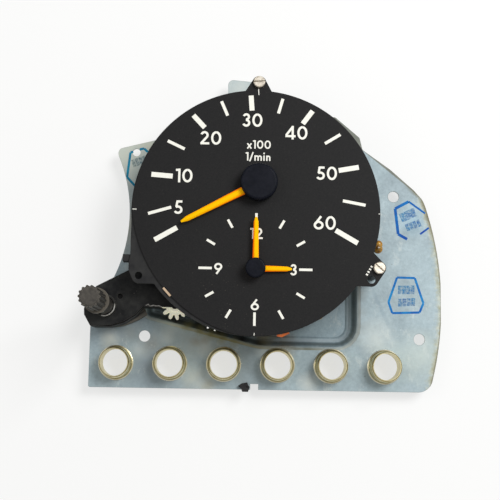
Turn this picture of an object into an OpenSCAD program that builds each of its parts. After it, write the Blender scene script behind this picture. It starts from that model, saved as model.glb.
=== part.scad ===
// Car rev counter with an inset clock, on its stamped carrier plate.
// It lies on its back: +Z points out of the dial to the driver, +Y to 12 o'clock,
// and the origin is the centre of the round dial on the back of the recessed panel.

/* [Dial] */
// Radius of the round dial
dial_r = 55; // [53:0.5:57]
// Thickness of the dial sheet
dial_t = 0.8; // [0.6:0.1:1]
// Height of the dial front above the front of the carrier plate
dial_h = 25.3; // [25:0.1:27]
// Distance of the rev counter's axis right of the dial centre
tacho_x = 1; // [0:0.1:1.2]
// Distance of the rev counter's axis above the dial centre
tacho_y = 12.3; // [11.5:0.1:13]
// Distance of the clock's axis below the dial centre
clock_y = 25.7; // [25:0.1:26.5]
// How far the cluster's rim relieves the dial edge at the lower left
relief_depth = 2.05; // [1:0.05:2.5]

/* [Carrier plate] */
// Thickness of the sheet steel
plate_t = 1; // [0.8:0.1:1.2]
// Depth of the pressed recess
recess_d = 7; // [6:0.5:8]
// Run of the recess's sloping wall
recess_run = 5; // [4:0.25:6]
// How far the plate reaches left of the dial
margin_left = 19.8; // [19:0.1:21]
// How far the plate reaches right of the dial
margin_right = 31.9; // [31:0.1:33]
// How far the plate reaches below the dial
margin_bottom = 23.4; // [23:0.1:25]
// Radius of the neighbouring gauge that the left edge clears
neighbour_r = 69.8; // [68:0.2:72]
// Radius of the three fixing holes
mount_hole_r = 2.6; // [2:0.1:2.9]
// Radius of the locating hole at the upper left
locating_hole_r = 1.85; // [1.5:0.05:2.2]

/* [Light tubes] */
// Number of warning light tubes in the row
tube_count = 6; // [4:1:6]
// Distance between two light tubes
tube_pitch = 24.64; // [23:0.02:25]
// Bore radius of a light tube
tube_bore_r = 6.1; // [5.5:0.1:6.4]
// Wall of a light tube
tube_wall = 0.8; // [0.6:0.1:1]
// Height of a light tube above the plate
tube_h = 8.5; // [6:0.5:10]
// Width of the collar round a tube's foot
tube_collar = 1.1; // [0.8:0.05:1.2]

/* [Moulded frame] */
// Thickness of the frame's deck under the dial
deck_t = 2.5; // [2:0.1:3]
// Height of the rim that hangs from the deck
rim_h = 4; // [3:0.5:5]
// Thickness of that rim
rim_t = 1.8; // [1.4:0.1:2.2]
// Radius of the frame's legs
leg_r = 2.9; // [2.6:0.1:3]
// Radius of the screw shanks
screw_r = 1.5; // [1.3:0.1:1.6]
// Radius of the cheese heads
head_r = 2.65; // [2.4:0.05:2.8]
// Height of the cheese heads
head_h = 1.8; // [1.4:0.1:2.1]

/* [Pointers] */
// Length of the rev counter's pointer from its axis
pointer_len = 38.5; // [34:0.5:40]
// Width of the pointer where it leaves the cap
pointer_w = 3.8; // [3:0.1:4.2]
// Radius of the pointer's cap
pointer_cap_r = 8.2; // [7:0.1:9]
// Direction of the pointer at rest, anticlockwise from 3 o'clock
zero_angle = 208; // [205:0.5:215]
// Length of the minute hand
minute_len = 22.6; // [20:0.1:24]
// Length of the hour hand
hour_len = 16; // [14:0.1:18]
// Width of the clock hands
hand_w = 2.8; // [2.4:0.1:3.2]
// Radius of the cap over the clock hands
clock_cap_r = 4.4; // [3.8:0.05:4.6]

/* [Gears] */
// Module of the clock's own wheels
fine_m = 0.45; // [0.44:0.01:0.46]
// Module of the moulded setting gears
coarse_m = 0.98; // [0.96:0.01:0.99]
// Face width of the setting gears
coarse_w = 4; // [3:0.25:4.25]
// Face width of the clock wheels
fine_w = 1; // [0.8:0.1:1.1]
// Play between the flanks of a fine pair
fine_play = 0.07; // [0.05:0.01:0.1]
// Play between the flanks of a coarse pair
coarse_play = 0.14; // [0.1:0.01:0.2]
// Running clearance of a shaft in its hole
run_gap = 0.05; // [0.03:0.01:0.08]

/* [Setting arm] */
// Height of the arm's top above the plate
arm_h = 12.3; // [12:0.1:13]
// Wall of the arm's housing
arm_wall = 1.2; // [1:0.1:1.5]
// Thickness of the arm's cover
arm_cover_t = 1.6; // [1.2:0.1:2]
// Radius of the collar round the knob's stem
collar_r = 5; // [4.9:0.05:5.3]
// Radius of the ring at the foot of the knob's grip
knob_r = 5.4; // [5:0.1:5.8]
// Length of the knob's ribbed grip
knob_len = 22.5; // [18:0.5:25]
// Height of the knob's top above the arm
knob_h = 50.5; // [46:0.5:53]
// Number of ribs on the knob
knob_ribs = 14; // [10:1:18]
// How far the knob can be pressed in
knob_travel = 2.5; // [1.5:0.1:3]

/* [Rev counter movement] */
// Outer radius of the screening can
can_r = 15.5; // [14.5:0.1:16]
// Radius of the disc magnet
magnet_r = 8.2; // [7.5:0.1:8.4]
// Radius of the pointer's spindle
spindle_r = 0.75; // [0.6:0.05:0.9]

/* [Hidden] */

$fn = 64;
eps = 0.01;

// Levels, from the floor up
z_panel = plate_t;
z_back = recess_d;
z_plate = recess_d + plate_t;
z_dial = z_plate + dial_h;
z_deck_top = z_dial - dial_t;
z_deck = z_deck_top - deck_t;
z_arm = z_plate + arm_h;
z_cover = z_arm - arm_cover_t;
gear_gap = 0.7;
z_coarse = z_cover - gear_gap - coarse_w;
z_fine = z_deck - 5.7;
z_hour = z_deck - 2.4;
z_centre = z_deck - 10;
mount_plate_t = 1.5;
z_mount = z_plate + 4;
z_board = z_panel + 2.5;
board_t = 1.6;
z_board_top = z_board + board_t;

// Small vector helpers
function polar(r, a) = [r * cos(a), r * sin(a)];
function unit(v) = v / norm(v);
function flat(p) = [p[0], p[1]];

// A polygon's points with each [x, y, radius] corner rounded by short chords
chords = 5;
function arc_between(c, r, from, to) =
    let (a = atan2(from[1], from[0]), turn = atan2(to[1], to[0]) - a)
    let (sweep = turn > 180 ? turn - 360 : turn < -180 ? turn + 360 : turn)
    [for (i = [0:chords]) c + polar(r, a + sweep * i / chords)];
function corner(before, p, after) =
    let (u = unit(flat(before) - flat(p)), v = unit(flat(after) - flat(p)))
    let (half = acos(u * v) / 2, c = flat(p) + unit(u + v) * p[2] / sin(half))
    let (run = p[2] / tan(half))
    arc_between(c, p[2], flat(p) + u * run - c, flat(p) + v * run - c);
function rounded(pts) = [
    for (i = [0:len(pts) - 1])
        each (pts[i][2] > 0
            ? corner(pts[(i + len(pts) - 1) % len(pts)], pts[i], pts[(i + 1) % len(pts)])
            : [flat(pts[i])])
];

// Two circles joined by straight sides, set in by a hair so that each side crosses its circle
side_in = 0.03;
module web(c1, r1, c2, r2) {
    d = norm(c2 - c1);
    along = atan2((c2 - c1)[1], (c2 - c1)[0]);
    lean = acos((r1 - r2) / d);
    translate(c1) circle(r1);
    translate(c2) circle(r2);
    polygon([
        c1 + polar(r1 - side_in, along + lean), c1 + polar(r1 - side_in, along - lean),
        c2 + polar(r2 - side_in, along - lean), c2 + polar(r2 - side_in, along + lean)
    ]);
}
module post(p, r, z0, z1) translate([p[0], p[1], z0]) cylinder(r = r, h = z1 - z0);
module ring(p, r_in, r_out, z0, z1) {
    difference() {
        post(p, r_out, z0, z1);
        post(p, r_in, z0 - 1, z1 + 1);
    }
}

// Gears. Teeth have involute flanks down to the base circle and parallel flanks below it.
pressure_angle = 20;
addendum = 0.87;
dedendum = 1.25;
cannon_teeth = 10;
minute_teeth = 30;
minute_pinion_teeth = 8;
hour_teeth = 32;
centre_teeth = 30;
drive_teeth = 10;
setting_small_teeth = 32;
setting_big_teeth = 22;
cream_teeth = 11;
idler_teeth = 15;
knob_teeth = 8;
function pitch_r(n, m) = n * m / 2;
function tip_r(n, m) = pitch_r(n, m) + addendum * m;
function involute(a) = tan(a) * 180 / PI - a;
function tooth_half(r, n, m, play) =
    let (rp = pitch_r(n, m), rb = rp * cos(pressure_angle))
    let (at_base = 90 / n - play / 2 / rp * 180 / PI + involute(pressure_angle))
    r > rb ? at_base - involute(acos(rb / r)) : asin(rb * sin(at_base) / r);
function tooth_radii(n, m, root_r) =
    let (rp = pitch_r(n, m), rb = rp * cos(pressure_angle), tip = tip_r(n, m))
    concat(rb > root_r ? [root_r, rb] : [root_r], [rp, (rp + tip) / 2, tip]);
function gear_points(n, m, root_r, play, turn) =
    let (radii = tooth_radii(n, m, root_r), top = len(radii) - 1)
    [
        for (i = [0:n - 1], k = [0:2 * top + 1])
            let (r = radii[k > top ? 2 * top + 1 - k : k], side = k > top ? 1 : -1)
            polar(r, turn + i * 360 / n + side * tooth_half(r, n, m, play))
    ];
module gear(p, n, m, play, turn, z0, w, root_r = 0) {
    root = root_r > 0 ? root_r : pitch_r(n, m) - dedendum * m;
    translate([p[0], p[1], z0])
        linear_extrude(w) polygon(gear_points(n, m, root, play, turn));
}
module fine_gear(p, n, turn, z0, w) gear(p, n, fine_m, fine_play, turn, z0, w);
module coarse_gear(p, n, turn, root_r = 0) gear(p, n, coarse_m, coarse_play, turn, z_coarse, coarse_w, root_r);

// The direction of one tooth of gear b, so that it meshes with gear a, where b lies in the direction dir
function meshed(dir, turn_a, teeth_a, teeth_b) =
    dir + 180 + 180 / teeth_b - (turn_a - dir) * teeth_a / teeth_b;

// The train runs from the clock's axis to the knob's in steps, each in its own direction
to_minute = 212;
to_setting = 204;
to_cream = 199;
to_inner = 126.7;
to_outer = 201.3;
to_knob = 209.9;
to_drive = 300;
clock_at = [0, -clock_y];
tacho_at = [tacho_x, tacho_y];
minute_at = clock_at + polar(pitch_r(cannon_teeth + minute_teeth, fine_m), to_minute);
setting_at = minute_at + polar(pitch_r(minute_teeth + setting_small_teeth, fine_m), to_setting);
cream_at = setting_at + polar(pitch_r(setting_big_teeth + cream_teeth, coarse_m), to_cream);
inner_at = cream_at + polar(pitch_r(cream_teeth + idler_teeth, coarse_m), to_inner);
outer_at = inner_at + polar(pitch_r(2 * idler_teeth, coarse_m), to_outer);
knob_at = outer_at + polar(pitch_r(idler_teeth + knob_teeth, coarse_m), to_knob);
drive_at = clock_at + polar(pitch_r(centre_teeth + drive_teeth, fine_m), to_drive);
cannon_turn = 105.7;
minute_turn = meshed(to_minute, cannon_turn, cannon_teeth, minute_teeth);
hour_turn = meshed(to_minute + 180, minute_turn, minute_pinion_teeth, hour_teeth);
setting_turn = meshed(to_setting, minute_turn, minute_teeth, setting_small_teeth);
cream_turn = meshed(to_cream, setting_turn, setting_big_teeth, cream_teeth);
inner_turn = meshed(to_inner, cream_turn, cream_teeth, idler_teeth);
outer_turn = meshed(to_outer, inner_turn, idler_teeth, idler_teeth);
knob_turn = meshed(to_knob, outer_turn, idler_teeth, knob_teeth);
drive_turn = meshed(to_drive, cannon_turn, centre_teeth, drive_teeth);

// Fixing points
top_screw_at = [0.5, dial_r + 3.7];
right_screw_at = polar(dial_r + 4.7, -24.1);
left_leg_at = polar(dial_r - 3.4, 166.7);
ear_hole_x = dial_r - 3.9;
ear_hole_y = -29.5;
ear_hole_r = 1.75;
slot_at = polar(dial_r - 2.09, 223.62);
leg_points = [top_screw_at, right_screw_at, left_leg_at];
locating_hole = [-dial_r - 1.2, 31.3];
boss_r = 2.2;
piece_gap = 0.3;
unit_size = [32, 17, 5];
unit_at = [-4, clock_at[1] - 2.3 - unit_size[1]];
unit_end = unit_at[0] + unit_size[0];
clock_bosses = [
    [-24, -20], [unit_end + boss_r - 0.2, -16], [unit_end + boss_r + piece_gap, -39.5],
    [unit_at[0] - boss_r - 2.3, -46.5]
];
spacer_r = 3;
board_points = [[-30, -31], [32, -32], [31, 17], [-29, 17]];
arm_at = [-68.43, -40.59];
arm_screw_points = [arm_at + [-2.5, -7.6], [left_leg_at[0] - 2.42, arm_at[1] + 15.8]];
tube_y = -dial_r - 12.1;
mount_holes = [[dial_r + 10, 12.5], [dial_r + 21.8, tube_y + 12.9], [-dial_r + 5.2, tube_y + 12.3]];
tube_x = -0.95;
tube_points = [for (i = [0:tube_count - 1]) [tube_x + (i - (tube_count - 1) / 2) * tube_pitch, tube_y]];
tube_r = tube_bore_r + tube_wall;

// Carrier plate
plate_right_r = 147.5;
neighbour_x = -dial_r - 3.5 - neighbour_r;
plate_outline = [
    [-dial_r - margin_left, -dial_r - margin_bottom, 0.8],
    [dial_r + margin_right, -dial_r - margin_bottom, 0],
    [dial_r + margin_right, 0, 0],
    [dial_r + 26.3, 5.2, 0],
    [dial_r + 23.6, 11.4, 6],
    [dial_r + 19.5, 15.9, 6],
    [dial_r + 8.4, 25.6, 0],
    [dial_r - 4.6, 34.8, 2],
    [dial_r - 6, 40.6, 1.5],
    [dial_r - 17.6, 50.4, 1.2],
    [4.6, dial_r - 4.6, 1.5],
    [4.2, dial_r + 11.2, 2],
    [-13.8, dial_r + 12.8, 2.5],
    [-13.4, dial_r - 9, 2],
    [-dial_r + 6.8, 37.2, 0],
    [-dial_r - 10.35, 32.75, 2.6],
    [-dial_r - 8.4, 25.4, 0],
    [-dial_r - margin_left, 14, 0]
];
// The recess keeps clear of the screw heads behind the plate, the left leg's and the arm's
screw_row = left_leg_at[0] + head_r;
recess_outline = [
    [screw_row - 1.94, -dial_r + 9.6, 3], [-dial_r + 57.8, -dial_r - 3.4, 30],
    [dial_r - 6.8, -dial_r - 3.6, 10], [dial_r - 6.8, 14, 10],
    [dial_r - 20, 40, 12], [-dial_r + 20, 40, 12], [screw_row + 1.37, left_leg_at[1] + 2.13, 10]
];
corner_r = 7;
corner_at = [dial_r + 21.02, -dial_r - margin_bottom + corner_r];
notch_at = [-0.9, 3.7, 2.6];
window_size = [26, 10];
window_at = [14, -27];
module recess_slice(inset, z) {
    translate([0, 0, z]) linear_extrude(eps) offset(delta = -inset) polygon(rounded(recess_outline));
}
module recess_step(inset0, z0, inset1, z1) {
    hull() {
        recess_slice(inset0, z0);
        recess_slice(inset1, z1);
    }
}
// The recess's edge is a soft lip, then a steeper wall, then a soft foot
bend = 0.9;
lip_run = 1.5;
foot_run = 1.4;
module carrier_plate() {
    color("#9aa7ad")
    difference() {
        union() {
            translate([0, 0, z_back]) linear_extrude(plate_t) plate_2d();
            recess_step(-plate_t, z_back, recess_run - plate_t - foot_run, bend);
            recess_step(recess_run - plate_t - foot_run, bend, recess_run - plate_t, 0);
        }
        recess_step(-lip_run, z_plate, 0.2, z_plate - bend);
        recess_step(0.2, z_plate - bend, recess_run - foot_run, z_panel + bend);
        recess_step(recess_run - foot_run, z_panel + bend, recess_run, z_panel);
        for (p = mount_holes) post(p, mount_hole_r, z_back - 1, z_plate + 1);
        post(locating_hole, locating_hole_r, z_back - 1, z_plate + 1);
        for (p = tube_points) post(p, tube_r, z_back - 1, z_plate + 1);
        for (p = leg_points) post(p, screw_r + 0.1, z_back - 1, z_plate + 1);
        for (p = arm_screw_points) post(p, screw_r + 0.1, z_back - 1, z_plate + 1);
        for (p = board_points) post(p, spigot_r + run_gap, -1, z_panel + 1);
        translate([window_at[0] - window_size[0] / 2, window_at[1] - window_size[1] / 2, -1])
            cube([window_size[0], window_size[1], plate_t + 2]);
    }
}
module plate_2d() {
    difference() {
        intersection() {
            polygon(rounded(plate_outline));
            translate([dial_r + margin_right + 0.3 - plate_right_r, -37.4]) circle(plate_right_r, $fn = 200);
        }
        translate([neighbour_x, 1.1]) circle(neighbour_r, $fn = 160);
        translate(corner_at) difference() {
            polygon([[0, 0], polar(20, -88), polar(28, -50), polar(20, -16)]);
            circle(corner_r + 0.03);
        }
        translate([notch_at[0], -dial_r - margin_bottom - 1]) square([notch_at[1], notch_at[2] + 1]);
    }
}
module light_tube() {
    rotate_extrude()
    polygon([
        [tube_bore_r, -0.7], [tube_r + 0.4, -0.7], [tube_r + 0.4, 0], [tube_r, 0], [tube_r, plate_t],
        [tube_r + tube_collar, plate_t], [tube_r + tube_collar, plate_t + 0.5],
        [tube_r + 0.4, plate_t + 0.9], [tube_r, plate_t + 1.6],
        [tube_r, plate_t + tube_h - 0.5], [tube_r - 0.3, plate_t + tube_h], [tube_bore_r, plate_t + tube_h]
    ]);
}
module light_tubes() {
    color("#b59a3c")
    for (p = tube_points) translate([p[0], p[1], z_back]) light_tube();
}
// The stump of a plastic clip that hooks over the plate's lower edge
module edge_clip() {
    color("#1c1c1e")
    translate([notch_at[0] - 5.6, -dial_r - margin_bottom, z_back])
    difference() {
        union() {
            translate([0, 0, plate_t]) linear_extrude(1.8)
                polygon([[0, 1.6], [1.7, 2.8], [4.2, 3.3], [4.7, 2], [5.3, 1.3], [5.1, 0.4], [4.6, -1], [2, -1], [1.5, 0.3]]);
            translate([2.2, -1, -1.2]) cube([2.3, 0.98, plate_t + 1.3]);
            translate([2.2, -1, -1.2]) cube([2.3, 3.4, 1.15]);
        }
        translate([1.2, 1.9, plate_t + 1.1]) rotate(25) cube([2.4, 4, 2]);
        translate([3.4, 0.6, plate_t + 1.3]) rotate(-20) cube([4, 1.1, 2]);
    }
}
lacquer_at = [dial_r + 2.6, -12.2];
module lacquer_seal() {
    color("#b07a20")
    translate([lacquer_at[0], lacquer_at[1], z_plate])
    difference() {
        union() {
            translate([0, 0, -0.6]) sphere(2.4);
            translate([0.4, 2, -1.2]) sphere(2.2);
        }
        translate([-5, -5, -5]) cube([10, 12, 5]);
    }
}

// Moulded frame and dial
frame_r = dial_r + 0.2;
ear_r = 3.1;
relief_r = dial_r + 7;
relief_dir = 219;
deck_hour_r = 2.3;
skirt_t = 1.9;
skirt_h = 8;
nub_y = -23.1;
module top_ear() web(top_screw_at, ear_r, [0.2, dial_r - 5], 7.45);
module right_ear() {
    low = [ear_hole_x, ear_hole_y];
    web(right_screw_at, ear_r, low, ear_r);
    polygon([
        right_screw_at + polar(ear_r - 0.1, 36), polar(dial_r - 0.4, -18.4), polar(dial_r - 6, -30),
        polar(dial_r - 0.6, -36.6), low + [0, 0.05 - ear_r]
    ]);
}
module left_ear() {
    polygon(rounded([
        [-dial_r, 2, 0], [-dial_r, nub_y + 2, 0], [-dial_r - 0.6, nub_y - 0.6, 1], [-dial_r - 0.6, -27, 3],
        [-ear_hole_x - 2, -32.9, 3.2], [-ear_hole_x + 6.6, -32.9, 0], [-ear_hole_x + 9, -34, 0], [-dial_r + 12, 2, 0]
    ]));
}
module frame_2d() {
    circle(frame_r, $fn = 128);
    web(top_screw_at, leg_r + 0.15, [0.2, dial_r - 5], 7);
    web(right_screw_at, leg_r + 0.15, polar(dial_r - 8, -24.1), 5);
    left_ear();
}
module deck_windows() {
    for (a = [18, 100, 162, 262])
        linear_extrude(deck_t + 2)
            intersection() {
                difference() {
                    circle(dial_r - 8.5);
                    circle(dial_r - 16);
                }
                polygon([[0, 0], polar(2 * dial_r, a - 17), polar(2 * dial_r, a + 17)]);
            }
}
module gauge_frame() {
    color("#232325")
    difference() {
        union() {
            translate([0, 0, z_deck]) linear_extrude(deck_t) frame_2d();
            ring([0, 0], frame_r - rim_t, frame_r - 0.2, z_deck - rim_h, z_deck + eps);
            for (p = leg_points) post(p, leg_r, z_plate, z_deck + eps);
            for (p = clock_bosses) post(p, boss_r, z_mount_top, z_deck + eps);
            ring(tacho_at, can_r + run_gap, can_r + skirt_t, z_deck - skirt_h, z_deck + eps);
            translate([-dial_r - 3.4, nub_y, z_deck - 4]) cube([4.4, 3, 5.5]);
            for (p = [minute_at, setting_at]) post(p, 3, z_deck - 0.6, z_deck + eps);
        }
        translate([0, 0, z_deck - 1]) deck_windows();
        for (p = [top_screw_at, right_screw_at]) post(p, screw_r, z_deck_top - 8, z_deck_top + 1);
        for (p = leg_points) post(p, screw_r, z_plate - 1, z_plate + 8);
        for (p = clock_bosses) post(p, 1, z_mount_top - 1, z_mount + 7);
        post([-ear_hole_x, ear_hole_y], 1.65, z_deck - 8, z_deck_top + 1);
        post(tacho_at, 5.5, z_deck - 1, z_deck_top + 1);
        post(clock_at, deck_hour_r + run_gap, z_deck - 1, z_deck_top + 1);
        post(minute_at, fine_pivot_r + run_gap, z_deck - 2, z_deck + 1.6);
        post(setting_at, setting_pivot_r + run_gap, z_deck - 2, z_deck + 1.6);
    }
}
module dial_2d() {
    intersection() {
        circle(dial_r, $fn = 180);
        translate(polar(relief_r - dial_r + relief_depth, relief_dir - 180)) circle(relief_r, $fn = 180);
    }
    top_ear();
    right_ear();
}
module dial_plate() {
    color("#303031")
    translate([0, 0, z_deck_top])
    difference() {
        linear_extrude(dial_t) dial_2d();
        for (p = [top_screw_at, right_screw_at]) post(p, screw_r + 0.1, -1, dial_t + 1);
        post([ear_hole_x, ear_hole_y], ear_hole_r, -1, dial_t + 1);
        post(tacho_at, 2.5, -1, dial_t + 1);
        post(clock_at, 3, -1, dial_t + 1);
        translate([slot_at[0], slot_at[1], -1]) rotate(-50) linear_extrude(dial_t + 2) web([-1.8, 0], 0.55, [1.8, 0], 0.55);
    }
}
module cheese_screw(p, z_seat, slot, shank) {
    translate([p[0], p[1], z_seat])
    difference() {
        union() {
            cylinder(r = head_r, h = head_h - 0.3);
            translate([0, 0, head_h - 0.3]) cylinder(r1 = head_r, r2 = head_r - 0.3, h = 0.3);
            translate([0, 0, -shank]) cylinder(r = screw_r, h = shank + eps);
        }
        rotate(slot) translate([-head_r - 1, -0.4, head_h - 0.9]) cube([2 * head_r + 2, 0.8, 2]);
    }
}
module dial_screws() {
    color("#c9c3b4")
    cheese_screw(top_screw_at, z_dial, 4, 6);
    cheese_screw(right_screw_at, z_dial, -42, 6);
}
module down_screw(p, z_seat, r, shank, cap_r, cap_h) {
    translate([p[0], p[1], z_seat])
    difference() {
        union() {
            translate([0, 0, -cap_h]) cylinder(r = cap_r, h = cap_h);
            cylinder(r = r, h = shank);
        }
        translate([-cap_r - 1, -0.35, -cap_h - 1]) cube([2 * cap_r + 2, 0.7, 1.7]);
    }
}
module frame_screws() {
    color("#c9c3b4")
    for (p = leg_points) down_screw(p, z_back, screw_r, 7, head_r, head_h);
}

// Rev counter movement: a disc magnet inside two crossed coils
z_can = z_mount - 3;
can_wall = 0.8;
z_bobbin = z_can + can_wall;
bobbin_r = can_r - can_wall - 1;
cavity_r = magnet_r + 0.5;
core_half = cavity_r + 0.9;
magnet_h = 3.8;
bobbin_h = 7.8;
z_split = z_bobbin + bobbin_h;
z_magnet = z_split - magnet_h / 2;
core_h = 4.15;
wire_t = 1.3;
coil_in = 1.7;
coil_w = 3.6;
z_bobbin_top = z_split + bobbin_h;
spring_z = z_bobbin_top + 1;
spring_end_r = 7;
z_pointer = z_dial + 2.2;
z_cap_top = z_dial + 6.6;
module tacho_can() {
    color("#a9abad")
    difference() {
        post(tacho_at, can_r, z_can, z_deck - 3);
        post(tacho_at, can_r - can_wall, z_bobbin, z_deck);
        for (s = [-1, 1], t = [-1, 1]) post(tacho_at + [7 * s, 7 * t], 0.8, z_can - 1, z_bobbin + 1);
    }
}
module coil_loop(side, half, rise, grow) {
    translate([-half - grow, side > 0 ? coil_in : -coil_in - coil_w, -rise - grow])
    difference() {
        cube([2 * (half + grow), coil_w, 2 * (rise + grow)]);
        translate([grow, -1, grow]) cube([2 * half, coil_w + 2, 2 * rise]);
    }
}
module crossed_loops(grow) {
    for (side = [-1, 1]) coil_loop(side, core_half, core_h, grow);
    rotate(90) for (side = [-1, 1]) coil_loop(side, core_half, core_h + wire_t + 0.2, grow);
}
module bobbin_body() {
    difference() {
        translate([0, 0, -bobbin_h]) cylinder(r = bobbin_r, h = 2 * bobbin_h);
        crossed_loops(8);
        translate([0, 0, -magnet_h / 2 - 0.5]) cylinder(r = cavity_r, h = magnet_h + 1);
        translate([0, 0, -bobbin_h - 1]) cylinder(r = spindle_r + run_gap, h = 2 * bobbin_h + 2);
    }
}
module tacho_bobbin_lower() {
    color("#d8d4c4")
    translate([tacho_at[0], tacho_at[1], z_split])
    difference() {
        bobbin_body();
        translate([-30, -30, 0]) cube(60);
        translate([0, 0, -bobbin_h - 1]) cylinder(r = bearing_r, h = 4.2);
    }
}
module tacho_bobbin_upper() {
    color("#d8d4c4")
    translate([tacho_at[0], tacho_at[1], z_split]) {
        difference() {
            bobbin_body();
            translate([-30, -30, -60]) cube(60);
        }
        translate([-0.8, spring_end_r + strip_t / 2, bobbin_h - eps]) cube([1.6, 1.6, spring_z + 1.2 - z_bobbin_top]);
    }
}
module tacho_coils() {
    color("#a2542a")
    translate([tacho_at[0], tacho_at[1], z_split]) crossed_loops(wire_t);
}
bearing_r = 1.4;
module tacho_bearing() {
    color("#c9a84a")
    translate([0, 0, z_split - bobbin_h])
    difference() {
        post(tacho_at, bearing_r, 0, 3.2);
        post(tacho_at, spindle_r + run_gap, 1, 5);
    }
}
module tacho_magnet() {
    color("#4a4a4c") ring(tacho_at, spindle_r, magnet_r, z_magnet, z_magnet + magnet_h);
}
module tacho_spindle() {
    color("#b8babc") {
        post(tacho_at, spindle_r, z_split - bobbin_h + 1.2, z_cap_top - 1.2);
        ring(tacho_at, spindle_r - eps, 1.7, spring_z - 0.3, spring_z + 1.1);
    }
}
// A flat spiral from the collet to the stud, with its strip on edge
spring_turns = 4.25;
spring_steps = 16;
spring_start_r = 2.1;
strip_t = 0.14;
function spiral_at(i, side) =
    let (n = spring_turns * spring_steps)
    polar(spring_start_r + (spring_end_r - spring_start_r) * i / n + side * strip_t / 2, i * 360 / spring_steps);
module tacho_hairspring() {
    n = spring_turns * spring_steps;
    color("#b98a3a")
    translate([tacho_at[0], tacho_at[1], spring_z])
        linear_extrude(0.8)
            polygon(concat([for (i = [0:n]) spiral_at(i, 1)], [for (i = [n:-1:0]) spiral_at(i, -1)]));
}
// A needle with a ridge along its back and a blunt point
module needle(root, len, w, w_tip, t) {
    hull() {
        translate([root, -w / 2, 0]) cube([eps, w, t * 0.45]);
        translate([root, -w * 0.18, 0]) cube([eps, w * 0.36, t]);
        translate([len - 0.8 * w, -w_tip / 2, 0]) cube([eps, w_tip, t * 0.45]);
        translate([len - 0.8 * w, -w_tip * 0.18, 0]) cube([eps, w_tip * 0.36, t]);
        translate([len - 0.3, -0.4, 0]) cube([0.3, 0.8, t * 0.4]);
    }
}
module tacho_pointer() {
    color("#ff7a00")
    translate([tacho_at[0], tacho_at[1], z_pointer])
    difference() {
        union() {
            rotate(zero_angle) needle(2.6, pointer_len, pointer_w, pointer_w * 0.6, 1.1);
            cylinder(r = 3, h = 1.1);
        }
        translate([0, 0, -1]) cylinder(r = spindle_r, h = 4);
    }
}
module tacho_cap() {
    color("#14161d")
    translate([tacho_at[0], tacho_at[1], z_pointer])
    difference() {
        rotate_extrude()
        polygon([
            [spindle_r, 1.15], [3.4, 1.15], [3.4, -1], [pointer_cap_r - 1.2, -1], [pointer_cap_r - 0.1, -0.4],
            [pointer_cap_r, 3.4], [pointer_cap_r - 0.3, 4], [pointer_cap_r - 0.9, 4.35], [0, 4.4], [0, 3.3], [spindle_r, 3.3]
        ]);
        rotate(zero_angle) translate([2, -pointer_w / 2 - 0.1, -2]) cube([10, pointer_w + 0.2, 3.2]);
    }
}

// Clock movement
fine_pivot_r = 0.6;
setting_pivot_r = 1;
centre_r = 1;
cannon_r = 1.5;
z_mount_top = z_mount + mount_plate_t;
z_hour_hand = z_dial + 1.7;
z_minute_hand = z_dial + 2.9;
z_hand_cap = z_minute_hand + 0.9;
module movement_plate() {
    color("#c7b673")
    difference() {
        translate([0, 0, z_mount]) linear_extrude(mount_plate_t) difference() {
            polygon(rounded([
                [-28, -38, 4], [unit_at[0] - 10, -51.5, 4], [unit_end + 4.5, -46, 4], [unit_end + 9, -11, 5], [-29, -14, 5]
            ]));
            web([8, -20], 2.5, [20, -20], 2.5);
        }
        for (p = clock_bosses) post(p, 1.1, z_mount - 1, z_mount_top + 1);
        post(clock_at, centre_r + run_gap, z_mount - 1, z_mount_top + 1);
        post(minute_at, fine_pivot_r + run_gap, z_mount - 1, z_mount_top + 1);
        post(setting_at, setting_pivot_r + run_gap, z_mount - 1, z_mount_top + 1);
        for (p = drive_pin_points) post(p, 0.8, z_mount - 1, z_mount_top + 1);
    }
}
module movement_screws() {
    color("#c9c3b4")
    for (p = clock_bosses) down_screw(p, z_mount, 1, 6, 1.9, 1.2);
}
module clock_drive_unit() {
    color("#5c6a4a")
    difference() {
        union() {
            translate([unit_at[0], unit_at[1], z_mount_top]) linear_extrude(unit_size[2]) polygon(rounded([
                [0, 0, 2], [unit_size[0], 0, 2], [unit_size[0], unit_size[1], 2], [0, unit_size[1], 2]
            ]));
            post(drive_at, 2, z_mount_top, z_mount_top + unit_size[2] + 0.6);
        }
        post(drive_at, fine_pivot_r + run_gap, z_mount_top + 1, z_mount_top + unit_size[2] + 2);
    }
}
module drive_pinion() {
    color("#d8d4c4") fine_gear(drive_at, drive_teeth, drive_turn, z_centre - 0.2, fine_w + 0.4);
    color("#d8d4c4") post(drive_at, fine_pivot_r, z_mount_top + 1.2, z_centre + 1);
}
module centre_wheel() {
    color("#c9a84a") {
        fine_gear(clock_at, centre_teeth, cannon_turn, z_centre, fine_w);
        post(clock_at, 2.2, z_centre - 0.8, z_centre + fine_w + 0.8);
        post(clock_at, centre_r, z_mount + 0.2, z_hand_cap + 1.2);
    }
}
module cannon_pinion() {
    color("#c9a84a")
    difference() {
        union() {
            fine_gear(clock_at, cannon_teeth, cannon_turn, z_fine - 0.3, fine_w + 0.6);
            post(clock_at, cannon_r, z_centre + fine_w + 0.8, z_minute_hand + 0.4);
        }
        post(clock_at, centre_r, z_centre, z_hand_cap);
    }
}
module minute_wheel() {
    color("#d8d4c4") {
        fine_gear(minute_at, minute_teeth, minute_turn, z_fine, fine_w);
        fine_gear(minute_at, minute_pinion_teeth, minute_turn, z_fine + fine_w - eps, z_hour + fine_w - z_fine - fine_w + 0.2);
        post(minute_at, 1, z_mount_top + 0.2, z_fine + eps);
        post(minute_at, fine_pivot_r, z_mount + 0.2, z_deck + 1.4);
    }
}
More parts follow.
